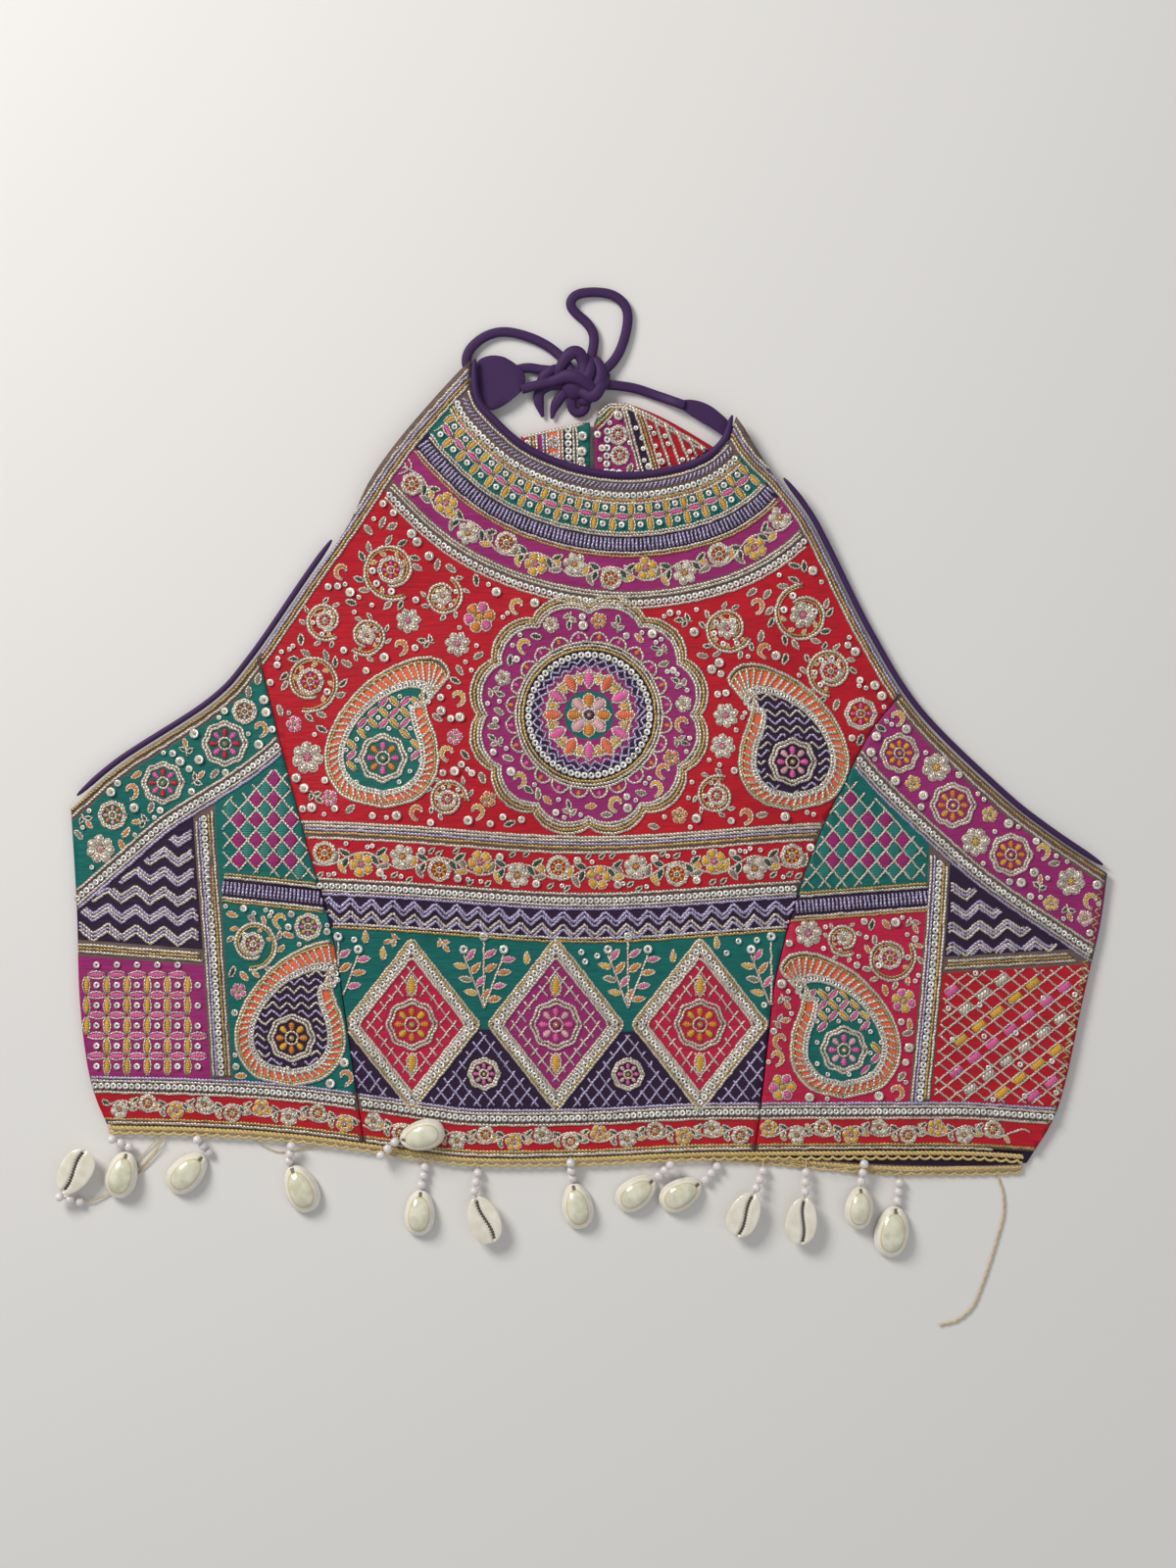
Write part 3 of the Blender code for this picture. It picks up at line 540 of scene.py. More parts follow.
def twisted_cotton(name, colour):
    """Soft thread of the hem braid and of the sewing."""
    made = Finish(name, Roughness=0.55, Sheen_Weight=0.3)
    along, around, _ = made.own("thread")
    # Painted shade in the grooves of the twist, lighter on its ridges; tone is the thread's own.
    twist = (along * 7.0 + around * 6.2832).wave()
    tone = made.noise(700.0, 2.0)
    made.feed("Base Color", made.mix(twist * 0.55 + tone.over(0.3, 0.7) * 0.45,
                                     shade(colour, 0.6), shade(colour, 1.15)))
    made.bump(twist, 0.5, 0.0002)
    return made.material


def pearl_glaze(name, colour):
    made = Finish(name, Coat_Weight=0.5, Coat_Roughness=0.1, Subsurface_Weight=0.1)
    tone = made.noise(420.0, 2.0)
    rosy = made.mix(tone.over(0.4, 0.6), shade(colour, 0.92), rgb(238, 224, 226))
    made.feed("Base Color", rosy)
    made.feed("Roughness", tone * 0.12 + 0.16)
    return made.material


def shell_glaze(name):
    """Ivory rim, a greenish cream dome with a thin yellow line round it; the slit and the drilled
    hole are painted dark as shade.
    """
    made = Finish(name, Coat_Weight=0.7, Coat_Roughness=0.06)
    across, along, up = made.own("thread")
    radius = (across * across + along * along * 0.82) ** 0.5
    cloudy = made.noise(240.0, 3.0)

    def cloud(low, high, dark, light):
        return made.mix(cloudy.over(low, high), rgb(*dark), rgb(*light))

    dome = cloud(0.35, 0.65, (206, 206, 176), (232, 230, 208))
    ivory = cloud(0.3, 0.7, (230, 224, 206), (244, 240, 228))
    off = radius - 0.66
    line = 1.0 - off.sum("ABSOLUTE", off).over(0.0, 0.05)
    skin = made.mix(radius.over(0.60, 0.74), dome, ivory)
    skin = made.mix(line * 0.75 * (up > 0.05), skin, rgb(204, 170, 84))
    # Painted shade in the drilled hole at the shell's end.
    hole = (along > 0.74) * (along < 0.93) * (up > 0.0)
    hole = hole * (1.0 - (across * across).over(0.004, 0.02))
    skin = made.mix(hole * 0.85, skin, rgb(62, 50, 38))
    belly = 1.0 - up.over(-0.04, 0.02)
    skin = made.mix(belly, skin, cloud(0.3, 0.7, (226, 218, 198), (240, 236, 222)))
    # Painted shade in the toothed slit of the underside.
    teeth = (along * 52.0).wave() * 0.012 + 0.0035
    slit = belly * (across * across < teeth) * (along < 0.86) * (along > -0.86)
    skin = made.mix(slit * 0.92, skin, rgb(30, 22, 18))
    made.feed("Base Color", skin)
    made.feed("Roughness", cloudy * 0.12 + 0.12)
    return made.material


MATERIALS = {name: slub_silk(f"silk_{name}", colour) for name, colour in GROUNDS.items()}
MATERIALS.update({name: satin(f"satin_{name}", colour) for name, colour in SATINS.items()})
MATERIALS.update({name: metal_thread(f"zari_{name}", c) for name, c in THREADS.items()})
MATERIALS["piping"] = plain_silk("piping_silk", rgb(60, 31, 80))
MATERIALS["braid"] = twisted_cotton("braid_cotton", rgb(226, 196, 124))
MATERIALS["thread"] = twisted_cotton("thread_cotton", rgb(222, 196, 150))
MATERIALS["pearl"] = pearl_glaze("pearl", rgb(232, 228, 224))
MATERIALS["shell"] = shell_glaze("cowrie_shell")
MATERIALS["film"] = sequin_film("sequin_white", rgb(228, 226, 220), 0.25)
MATERIALS["gilt"] = sequin_film("sequin_gilt", rgb(214, 190, 130), 0.7)


# Building meshes from arrays of points
def piece(name, points, faces, kinds=None, names=(), own=None):
    """A mesh piece of the blouse; points in millimetres of the layout."""
    points = (np.asarray(points, float) - np.array(MIDDLE)) * MM
    data = bpy.data.meshes.new(name)
    data.from_pydata(points.tolist(), [], [list(map(int, f)) for f in faces])
    for key in names:
        data.materials.append(MATERIALS[key])
    if kinds is not None:
        data.polygons.foreach_set("material_index", np.asarray(kinds, dtype=np.int32))
    if own is not None:
        thread_values(data, own)
    data.shade_smooth()
    data.update()
    return ridden(in_scene(bpy.data.objects.new(name, data)))


def tube_faces(rings, count, base, inside_out=False):
    """Faces of a closed tube of rings with count points each, numbered from base on."""
    i = np.arange(rings - 1)[:, None] * count + base
    k = np.arange(count)[None]
    n = (k + 1) % count
    faces = np.stack([i + k, i + n, i + count + n, i + count + k], 2).reshape(-1, 4).tolist()
    last = base + (rings - 1) * count
    faces += [list(range(base + count - 1, base - 1, -1)), list(range(last, last + count))]
    return [face[::-1] for face in faces] if inside_out else faces


# Half-round section of a couched cord: across as a share of its width, height as a share
SECTION = np.array(((-0.5, -0.25), (-0.34, 0.62), (0.0, 1.0), (0.34, 0.62), (0.5, -0.25)))

DISC = np.stack(np.meshgrid(*(np.arange(-16, 17.0),) * 2), -1).reshape(-1, 2)
DISC_REACH = np.linalg.norm(DISC, axis=1)
HAND = np.random.default_rng(7)


def runs(points, kept):
    """The stretches of a line whose points are kept."""
    found, start = [], None
    for i in range(len(points) + 1):
        if i < len(points) and kept[i]:
            start = i if start is None else start
        elif start is not None:
            if i - start >= 3:
                found.append(points[start:i])
            start = None
    return found


def thread_values(data, own):
    """Three numbers a point, for the nodes of its material."""
    values = data.attributes.new("thread", "FLOAT_VECTOR", "POINT")
    values.data.foreach_set("vector", np.asarray(own, dtype=np.float32).ravel())


class Stitching:
    """Stitching on one piece of the cloth, whose height is a function of x and y."""

    def __init__(self, name, height, outline):
        self.name, self.height, self.outline = name, height, np.asarray(outline, float)[:, :2]
        self.cords, self.shapes, self.rings, self.beads, self.patches = [], [], [], [], []
        self.low = self.outline.min(0) - 4.0
        size = np.ceil(self.outline.max(0) + 4.0 - self.low).astype(int)
        self.cells = np.stack(np.meshgrid(*(np.arange(n) for n in size), indexing="ij"),
                              -1).reshape(-1, 2)
        self.taken = ~inside(self.cells + self.low + 0.5, self.outline).reshape(size)
        self.claimed = np.zeros(size, bool)

    def patch(self, colour, line):
        """A patch of one silk; a later one covers an earlier one."""
        self.patches.append((colour, leftward(np.asarray(line, float)[:, :2])))

    def claim(self, edge):
        """Keep the fillings of other fields out of an area."""
        mine = self.cells[inside(self.cells + self.low + 0.5, np.asarray(edge, float)[:, :2])]
        self.taken[tuple(mine.T)] = self.claimed[tuple(mine.T)] = True

    def mark(self, points, radius):
        steps = np.arange(-int(radius + 1), int(radius + 2))
        across, up = np.meshgrid(steps, steps)
        near = across ** 2 + up ** 2 <= (radius + 0.3) ** 2
        offsets = np.stack([across[near], up[near]], 1)
        cells = (np.asarray(points)[:, None, :2] - self.low).astype(int) + offsets[None]
        cells = cells.reshape(-1, 2)
        cells = cells[((cells >= 0) & (cells < self.taken.shape)).all(1)]
        self.taken[tuple(cells.T)] = True

    def free(self, spot, radius):
        """Whether a round space is on the cloth and not stitched yet."""
        spots = np.asarray(spot, float)[:2] + DISC[DISC_REACH <= radius]
        cells = (spots - self.low).astype(int)
        if (cells < 0).any() or (cells >= self.taken.shape).any():
            return False
        return not self.taken[tuple(cells.T)].any()

    def on_cloth(self, points, edge=None):
        """Which points lie on the cloth and, with an edge, inside it where nothing is claimed."""
        kept = inside(points, self.outline)
        if edge is not None:
            cells = (points[:, :2] - self.low).astype(int)
            cells = np.clip(cells, 0, np.array(self.claimed.shape) - 1)
            kept &= inside(points, edge) & ~self.claimed[tuple(cells.T)]
        return kept

    def cord(self, kind, points, width=1.3, edge=None, lift=0.0, step=1.5):
        """A cord couched along a line, as far as it lies on the cloth and inside the edge."""
        points = spaced(points, step)
        for run in runs(points, self.on_cloth(points, edge)):
            self.cords.append((kind, run, width, lift))
            self.mark(run, width / 2)

    def shape(self, kind, left, right, puff=0.7, edge=None):
        """A satin-stitched shape between two edges, which run from its root to its tip."""
        left, right = np.asarray(left, float), np.asarray(right, float)
        if self.on_cloth(np.concatenate([left, right]), edge).all():
            self.shapes.append((kind, left, right, puff))
            self.mark((left + right) / 2, float(np.linalg.norm(left - right, axis=1).max()) / 2)
            return True
        return False

    def sequin(self, x, y, radius, edge=None):
        spot = np.array([[x, y]])
        if self.on_cloth(spot, edge)[0]:
            self.rings.append(("film", x, y, radius))
            self.mark(spot, radius)

    def bead(self, x, y, radius):
        if self.on_cloth(np.array([[x, y]]))[0]:
            self.beads.append(("gilt", x, y, radius))

    def sequin_row(self, points, pitch, radius, edge=None):
        for x, y in spaced(points, pitch)[:, :2]:
            self.sequin(x, y, radius, edge)

    def unpick(self, edge):
        """Take out what is stitched in an area."""
        self.cords = [(kind, run, width, lift) for kind, line, width, lift in self.cords
                      for run in runs(line, ~inside(line, edge))]
        self.shapes = [s for s in self.shapes if not inside((s[1] + s[2]) / 2, edge).any()]
        self.rings = [r for r in self.rings if not inside(np.array([r[1:3]]), edge)[0]]

    def cord_rings(self, line, width, lift):
        """Rings of points along a cord, laid a little unevenly as by hand."""
        uneven = HAND.uniform(0.84, 1.16, (len(line), 1)) * width
        across = SECTION[None, :, 0] * uneven + HAND.normal(0.0, 0.11, (len(line), 1))
        across = line[:, None, :2] + ways(line)[1][:, None, :] * across[:, :, None]
        level = self.height(line[:, 0], line[:, 1])[:, None] + lift
        level = level + SECTION[None, :, 1] * uneven * 0.55
        return line, np.concatenate([across, level[..., None]], 2)

    def shape_rings(self, left, right, puff):
        """Rings of points across a satin shape, which swells along its middle."""
        middle = (left + right) / 2
        swell = puff * np.minimum(1.0, np.linalg.norm(left - right, axis=1) / 3.0)
        rows = []
        for spot, raised in ((left, -0.15), (left * 0.75 + right * 0.25, 0.75), (middle, 1.0),
                             (left * 0.25 + right * 0.75, 0.75), (right, -0.15)):
            level = self.height(spot[:, 0], spot[:, 1]) + raised * swell + 0.1
            rows.append(np.column_stack([spot, level]))
        return middle, np.stack(rows, 1)

    def stitched(self, prefix, items, rings_of, around):
        """One mesh of all the cords, or of all the satin shapes."""
        names = sorted({item[0] for item in items})
        points, faces, kinds, own, base = [], [], [], [], 0
        for kind, *form in items:
            line, rings = rings_of(*form)
            total = len(line) * len(around)
            points.append(rings.reshape(-1, 3))
            own.append(np.stack([np.repeat(reach_of(line), len(around)),
                                 np.tile(around, len(line)), np.full(total, random.random())], 1))
            skin = tube_faces(len(line), len(around), base, True)
            faces += skin
            kinds += [names.index(kind)] * len(skin)
            base += total
        return piece(f"{prefix}_{self.name}", np.concatenate(points), faces, kinds, names,
                     np.concatenate(own))

    def finish_sequins(self):
        """Cupped rings and round beads, each modelled once and joined."""
        k = np.arange(SEQUIN_SIDES)
        turns = k / SEQUIN_SIDES * math.tau
        ring = np.stack([np.cos(turns), np.sin(turns)], 1)

        def form(loops, steps):
            """Points and faces of a turned form, from the radius and height of its rings."""
            points = [np.column_stack([ring * r, np.full(len(k), z)]) for r, z in loops]
            n = (k + 1) % len(k)
            skin = [np.stack([a * len(k) + k, b * len(k) + k, b * len(k) + n, a * len(k) + n], 1)
                    for a, b in steps]
            return np.concatenate(points), np.concatenate(skin)

        cup = form(((0.30, 0.08), (1.0, 0.34), (0.95, 0.14), (0.30, -0.06)),
                   ((0, 1), (1, 2), (2, 3), (3, 0)))
        ball = form(((0.0, 1.0), (0.8, 0.6), (0.9, -0.4)), ((0, 1), (1, 2)))
        names = ["film", "gilt"]
        points, faces, kinds, base = [], [], [], 0
        for (shape, skin), items, low in ((cup, self.rings, 0.25), (ball, self.beads, 0.5)):
            for kind, x, y, radius in items:
                tilt = Euler((random.uniform(-0.16, 0.16), random.uniform(-0.16, 0.16), 0.0))
                turned = shape @ np.array(tilt.to_matrix()).T * radius
                level = float(self.height(np.array([x]), np.array([y]))[0])
                points.append(turned + np.array((x, y, level + low)))
                faces += (skin + base).tolist()
                kinds += [names.index(kind)] * len(skin)
                base += len(shape)
        return piece(f"sequins_{self.name}", np.concatenate(points), faces, kinds, names)

    def finish(self):
        return [self.stitched("zari", self.cords, self.cord_rings, np.arange(5) / 5),
                self.stitched("satin", self.shapes, self.shape_rings, np.linspace(-1, 1, 5)),
                self.finish_sequins()]


# Panels: cut from the outlines of their solids, coloured by the patches laid on them
def outline_of(node):
    """The edge of a panel's top side, as a closed line in plan, in the layout."""
    shape = bmesh.new()
    shape.from_mesh(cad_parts[node].data)
    bmesh.ops.remove_doubles(shape, verts=shape.verts, dist=1e-6)
    shape.normal_update()
    away = [f for f in shape.faces if f.normal.z < 0.3]
    bmesh.ops.delete(shape, geom=away, context="FACES")
    rim = {}
    for edge in shape.edges:
        if edge.is_boundary:
            a, b = edge.verts
            rim.setdefault(a, []).append(b)
            rim.setdefault(b, []).append(a)
    start = max(rim, key=lambda v: v.co.x)
    walk, last, now = [start], start, rim[start][0]
    while now is not start:
        walk.append(now)
        last, now = now, [v for v in rim[now] if v is not last][0]
    line = np.array([(v.co.x, v.co.y) for v in walk]) / MM + np.array(MIDDLE)[:2]
    shape.free()
    return rounded(leftward(line))


def rounded(line):
    """A closed line with its long steps split on a smooth curve, and its corners kept."""
    before, after = np.roll(line, 1, 0), np.roll(line, -1, 0)
    turn = np.arctan2(*(after - line).T[::-1]) - np.arctan2(*(line - before).T[::-1])
    corner = np.abs((turn + math.pi) % math.tau - math.pi) > 0.45
    found = []
    for i in range(len(line)):
        b, c, n = line[i], after[i], (i + 1) % len(line)
        a = 2 * b - c if corner[i] else before[i]
        d = 2 * c - b if corner[n] else after[n]
        found += [between_knots(a, b, c, d, t) for t in np.arange(3) / 3]
    return np.array(found)


def quilt(name, outline, ground, height, nodes, patches):
    """A panel made of its patches, draped at a height, with a wall under it."""
    low, high = outline.min(0), outline.max(0)
    grid = np.array([(x, y) for x in np.arange(low[0] + 1, high[0], 4.0)
                     for y in np.arange(low[1] + 1, high[1], 4.0)])
    points, rings, colours = [*map(tuple, outline)], [list(range(len(outline)))], [ground]
    for colour, line in patches:
        if (line.max(0) >= low).all() and (line.min(0) <= high).all():
            rings.append(list(range(len(points), len(points) + len(line))))
            colours.append(colour)
            points += map(tuple, line)
    points += map(tuple, grid[inside(grid, outline)])
    spots, _, faces, _, _, owners = delaunay_2d_cdt(
        [Vector(p) for p in points], [], rings, 0, 1e-3, True)
    names, kept, kinds = [ground], [], []
    for face, owner in zip(faces, owners):
        if 0 not in owner:
            continue
        colour = colours[max(owner)]
        if colour not in names:
            names.append(colour)
        kept.append(face)
        kinds.append(names.index(colour))
    spots = np.array([(p.x, p.y) for p in spots])
    points = np.column_stack([spots, height(spots[:, 0], spots[:, 1])])
    cloth = piece(name, points, kept, kinds, names)
    shape = bmesh.new()
    shape.from_mesh(cloth.data)
    bmesh.ops.delete(shape, geom=[v for v in shape.verts if not v.link_faces], context="VERTS")
    bmesh.ops.recalc_face_normals(shape, faces=shape.faces)
    if sum(f.normal.z for f in shape.faces) < 0:
        bmesh.ops.reverse_faces(shape, faces=shape.faces)
    shape.to_mesh(cloth.data)
    shape.free()
    wall = cloth.modifiers.new("wall", "SOLIDIFY")
    wall.thickness = WALL * MM
    wall.offset = -1.0
    apply_all(cloth)
    return replaced(cloth, *nodes)


def apply_all(thing):
    bpy.ops.object.select_all(action="DESELECT")
    thing.select_set(True)
    bpy.context.view_layer.objects.active = thing
    for modifier in list(thing.modifiers):
        bpy.ops.object.modifier_apply(modifier=modifier.name)


# Embroidery motifs, drawn in plan
def turned(points, middle, angle=0.0, size=1.0, flip=False):
    points = np.asarray(points, float)[:, :2] * size
    if flip:
        points = points * (-1, 1)
    turn = math.radians(angle)
    spin = np.array(((math.cos(turn), math.sin(turn)), (-math.sin(turn), math.cos(turn))))
    return points @ spin + np.asarray(middle, float)[:2]


def way(angle):
    return np.array((math.cos(math.radians(angle)), math.sin(math.radians(angle))))


def rays(turn):
    """Unit steps at an array of angles in radians."""
    return np.stack([np.cos(turn), np.sin(turn)], 1)


def circle(middle, radius, step=1.5, start=0.0, end=360.0):
    count = max(8, int(abs(end - start) / 360 * math.tau * radius / step))
    return rays(np.radians(np.linspace(start, end, count + 1))) * radius + middle


def flanks(middle, half, root, angle=0.0, flip=False):
    """Both edges of a shape that reaches half its width to each side of a middle line."""
    side = ways(middle)[1] * half[:, None]
    return [turned(line, root, angle, 1.0, flip) for line in (middle + side, middle - side)]


def rimmed(work, kind, edges, puff, thick):
    """A satin shape outlined in zari, or bare with a rim of no thickness."""
    if work.shape(kind, *edges, puff) and thick:
        work.cord("silver", np.concatenate([edges[0], edges[1][::-1]]), thick, step=1.3)


def leaf(work, kind, root, angle, length, width, bend=0.0, thick=1.0):
    """A pointed leaf from its root, bent sideways."""
    t = np.linspace(0, 1, 7)
    half = width / 2 * np.sin(math.pi * t ** 0.8) ** 0.9
    middle = np.stack([t * length, bend * length * t * t], 1)
    rimmed(work, kind, flanks(middle, half, root, angle), 0.7, thick)


def petal(work, kind, root, angle, length, width, thick=1.0):
    """A round-ended petal."""
    t = np.linspace(0, 1, 6)
    half = width / 2 * np.sqrt(np.clip(1 - (2 * (t ** 1.4) - 1) ** 2, 0, 1))
    middle = np.stack([t * length, t * 0], 1)
    rimmed(work, kind, flanks(middle, half, root, angle), 0.9, thick)


def daisy(work, middle, radius, kinds, count, heart, start=None):
    """Fat petals round a small heart."""
    middle = np.asarray(middle, float)
    start = random.uniform(0, 50) if start is None else start
    core = radius * 0.26
    for i in range(count):
        angle = start + 360 * i / count
        petal(work, kinds[i % len(kinds)], middle + way(angle) * core, angle,
              radius - core, math.tau * radius / count * 0.66, 0.95)
    for angle in (0, 180):
        edge = middle + rays(np.radians(np.linspace(0, 180, 6) + angle)) * core
        work.shape(heart, edge, np.repeat([middle], 6, 0), 0.9)
    work.bead(*middle, max(0.7, core * 0.45))
    work.mark([middle], radius)


def rosette(work, middle, radius, kinds):
    """A round flower: a thick scalloped rim of zari, short petals, a ring and a bead."""
    middle = np.asarray(middle, float)
    turn = np.radians(np.arange(0, 361, 6.0))
    for share in (0.98, 0.83):
        reach = radius * share * (1 + 0.05 * np.cos(8 * turn))
        work.cord("silver", rays(turn) * reach[:, None] + middle, 1.5, step=1.2)
    for i in range(8):
        petal(work, kinds[i % len(kinds)], middle + way(i * 45) * radius * 0.30, i * 45,
              radius * 0.42, radius * 0.30, 0)
    work.cord("silver", circle(middle, radius * 0.28, 1.0), 1.2, step=0.9)
    work.bead(*middle, radius * 0.14)
    work.mark([middle], radius)


def curl(work, root, size, kind, flip):
    """A hooked curl of satin with a zari edge."""
    t = np.linspace(0, 1, 12)
    turn = np.radians(t * 285)
    reach = size * (0.50 - 0.30 * t)
    middle = np.stack([np.sin(turn) * reach, size * 0.50 - np.cos(turn) * reach], 1)
    half = size * 0.13 * np.clip(np.sin(math.pi * np.clip(t * 0.86 + 0.1, 0, 1)), 0.1, 1)
    edges = flanks(middle, half, root, flip=flip)
    if work.shape(kind, *edges, 0.8):
        for edge in edges:
            work.cord("silver", edge, 0.95, step=1.2)


def sprig(work, spot, radius, kinds):
    """Three leaves on a short stem."""
    angle = random.uniform(0, 360)
    root = spot - way(angle) * radius * 0.8
    work.cord("silver", np.stack([root, root + way(angle) * radius]), 0.95, step=1.2)
    for turn, share, at in ((0, 1.0, 0.8), (52, 0.8, 0.5), (-52, 0.8, 0.3)):
        leaf(work, kinds[abs(turn) % len(kinds)], root + way(angle) * radius * at, angle + turn,
             radius * share, radius * 0.44, math.copysign(0.15, turn))


def branch(work, points, kinds, pitch, reach, thick):
    """A stem through the given points, with leaves to both sides."""
    line = smooth(points, 1.0)
    work.cord("silver", line, thick, lift=0.1)
    ahead = ways(line)[0]
    for n, i in enumerate(range(int(pitch / 2), len(line) - 3, int(pitch / 2))):
        side = 1 if n % 2 else -1
        turn = heading(ahead[i]) + side * 50
        spot = line[i] + way(turn) * thick * 0.6
        if work.free(spot + way(turn) * reach * 0.62, reach * 0.24):
            leaf(work, kinds[n % len(kinds)], spot, turn, reach, reach * 0.42, side * 0.15)


def vine(work, line, half):
    """A wavy stem with leaf pairs, flowers in its bends and big sequins."""
    line = spaced(line, 1.0)
    pitch = half * 2.3
    wavy = beside(line, half * 0.42 * np.sin(np.arange(len(line)) / pitch * math.pi))
    work.cord("silver", wavy, 1.15)
    ahead, side = ways(line)
    for n in range(int(len(line) / pitch)):
        i = int((n + 0.5) * pitch)
        if i >= len(line) - 2:
            break
        up = 1 if n % 2 else -1
        spot = line[i] + side[i] * up * half * 0.30
        if n % 3 == 0:
            daisy(work, spot, half * 0.72, ("silver", "ivory"), 6, "orange")
        elif n % 3 == 1:
            rosette(work, spot, half * 0.64, ("orange", "mustard"))
        else:
            daisy(work, spot, half * 0.72, ("mustard",), 5, "pink")
        for step, turn, where in ((0.30, 62, 1), (0.42, -48, -1), (-0.36, 118, 1),
                                  (-0.28, 200, -1)):
            k = int(i + step * pitch)
            if 0 < k < len(wavy):
                leaf(work, VINE_LEAVES[(n + abs(turn)) % len(VINE_LEAVES)], wavy[k],
                     heading(ahead[i]) + turn * up, half * 0.82, half * 0.36, 0.15 * where)
        k = min(len(line) - 1, int(i + 0.5 * pitch))
        for where in (0.72, -0.72):
            spot = line[k] + side[k] * half * where
            if work.free(spot, 1.2):
                work.sequin(*spot, 1.8)
                work.bead(*spot, 0.7)
    scattered(work, ring_band(line, half, -half, 0.1), (
        (1.8, len(line) * 4,
         lambda s, r: leaf(work, VINE_LEAVES[0], s - way(40) * r, 40, r * 2, r)),
        (1.1, len(line) * 5, lambda s, r: work.sequin(*s, r))))


def braid(work, line, kinds, sequins=0.0, edge=None):
    """Cords couched side by side along a line, perhaps with a row of sequins in the middle."""
    line = spaced(line, 1.5)
    for i, kind in enumerate(kinds):
        offset = (i - (len(kinds) - 1) / 2) * CORD_PITCH
        if sequins:
            offset += math.copysign(sequins * 0.8, offset if offset else 1)
        work.cord(kind, beside(line, offset), 1.35 * random.uniform(0.92, 1.08), edge)
    if sequins:
        work.sequin_row(line, sequins * 1.9, sequins, edge)


def rows_of(work, line, kinds, start, side=1):
    """Bands of a braid, one beside the other from a distance on."""
    for kind in kinds:
        if kind == "sequins":
            start += 1.3
            work.sequin_row(extended(beside(line, side * start)), 2.6, 1.4)
            start += 1.3 + CORD_PITCH / 2
        elif kind == "chain":
            start += 0.8
            chain(work, extended(beside(line, side * start)))
            start += 1.6 + CORD_PITCH / 2
        elif kind == "dark":
            start += CORD_PITCH * 0.5
        else:
            work.cord(kind, extended(beside(line, side * start)), 1.4 * random.uniform(0.92, 1.06))
            start += CORD_PITCH


def chain(work, line):
    """Slanting stitches close together, as a rope edging has."""
    line = spaced(line, 1.9)
    for spot, a, s in zip(line, *ways(line)):
        work.cord("lilac", np.stack([spot - s * 1.1 - a * 0.9, spot + s * 1.1 + a * 0.9]), 1.1,
                  step=1.3)


def comb(work, line, reach):
    """Short upright satin bars side by side."""
    line = spaced(line, 1.7)
    for ends in zip(beside(line, -reach), beside(line, reach)):
        work.cord("lilac", np.stack(ends), 1.25, step=reach / 2)


def zigzag(work, line, kind, depth, pitch, width, edge=None):
    """A cord that goes to and fro across a line."""
    line = spaced(line, pitch / 2)
    side = np.where(np.arange(len(line)) % 2 == 0, depth / 2, -depth / 2)
    work.cord(kind, beside(line, side), width, edge, step=1.2)


def waves(work, edge, kinds, pitch, depth, length, slope=0.0, width=1.2, strands=1):
    """Rows of chevrons over a field, each of one or more lines of zari."""
    low, high = edge.min(0), edge.max(0)
    for n, y in enumerate(np.arange(low[1] - depth, high[1] + depth, pitch)):
        for strand in range(strands):
            foot = y + strand * 1.55
            line = [(low[0] - 4, foot), (high[0] + 4, foot + slope * (high[0] - low[0]))]
            zigzag(work, line, kinds[(n + strand) % len(kinds)], depth, length, width, edge)


def field_of(edge, pitch):
    """A field's middle, how far it reaches from there, and how many steps that is."""
    centre = edge.mean(0)
    reach = np.linalg.norm(edge - centre, axis=1).max() + pitch
    return centre, reach, int(reach / pitch) + 1


def lattice(work, edge, kind, pitch, angle, middle, width):
    """Two families of straight cords that cross inside an edge."""
    centre, reach, count = field_of(edge, pitch)
    for turn in (angle, -angle):
        ahead = way(turn)
        side = np.array((-ahead[1], ahead[0]))
        shift = float((middle - centre) @ side) % pitch
        for i in range(-count, count + 1):
            spot = centre + side * (i * pitch + shift)
            work.cord(kind, np.stack([spot - ahead * reach, spot + ahead * reach]), width, edge)


def checker(work, edge, wide, tall, kinds):
    """Lozenge cells of two colours in turn, with zari along their sides."""
    size = np.array((wide, tall))
    first = (edge.min(0) / size * 2).astype(int) - 1
    last = (edge.max(0) / size * 2).astype(int) + 2
    t = np.linspace(0, 1, 5)
    half = np.stack([wide / 2 * (1 - np.abs(2 * t - 1)) * 0.94, t * 0], 1)
    for i in range(first[0], last[0]):
        for j in range(first[1], last[1]):
            if (i + j) % 2 == 0:
                line = np.stack([t * 0, (t - 0.5) * tall * 0.94], 1) + (i * wide / 2, j * tall / 2)
                work.shape(kinds[j % 2], line - half, line + half, 0.25, edge)
    lattice(work, edge, "silver", wide * tall / math.hypot(wide, tall),
            math.degrees(math.atan2(tall, wide)), np.array((wide / 2, 0.0)), 1.15)


def blocks(work, edge, pitch, kinds):
    """Crossing ways of short satin blocks between zari lines."""
    angle = 38.0
    centre, reach, count = field_of(edge, pitch)
    long_step = pitch / abs(math.sin(math.radians(2 * angle)))
    t = np.linspace(-0.31, 0.31, 4)[:, None] * long_step
    for turn in (angle, -angle):
        ahead = way(turn)
        side = np.array((-ahead[1], ahead[0]))
        flank = side * pitch * 0.19
        for i in range(-count, count + 1):
            for offset in (0.21, -0.21):
                spot = centre + side * (i + offset) * pitch
                work.cord("silver", np.stack([spot - ahead * reach, spot + ahead * reach]), 1.05,
                          edge)
            for j in range(-count - 1, count + 2):
                spot = centre + side * i * pitch + ahead * (j + 0.5) * long_step
                if turn > 0:
                    work.shape(kinds[(i * 2 + j * 3) % len(kinds)], spot + ahead * t + flank,
                               spot + ahead * t - flank, 0.8, edge)
                elif (i + j) % 2:
                    work.sequin(*spot, 1.3, edge)


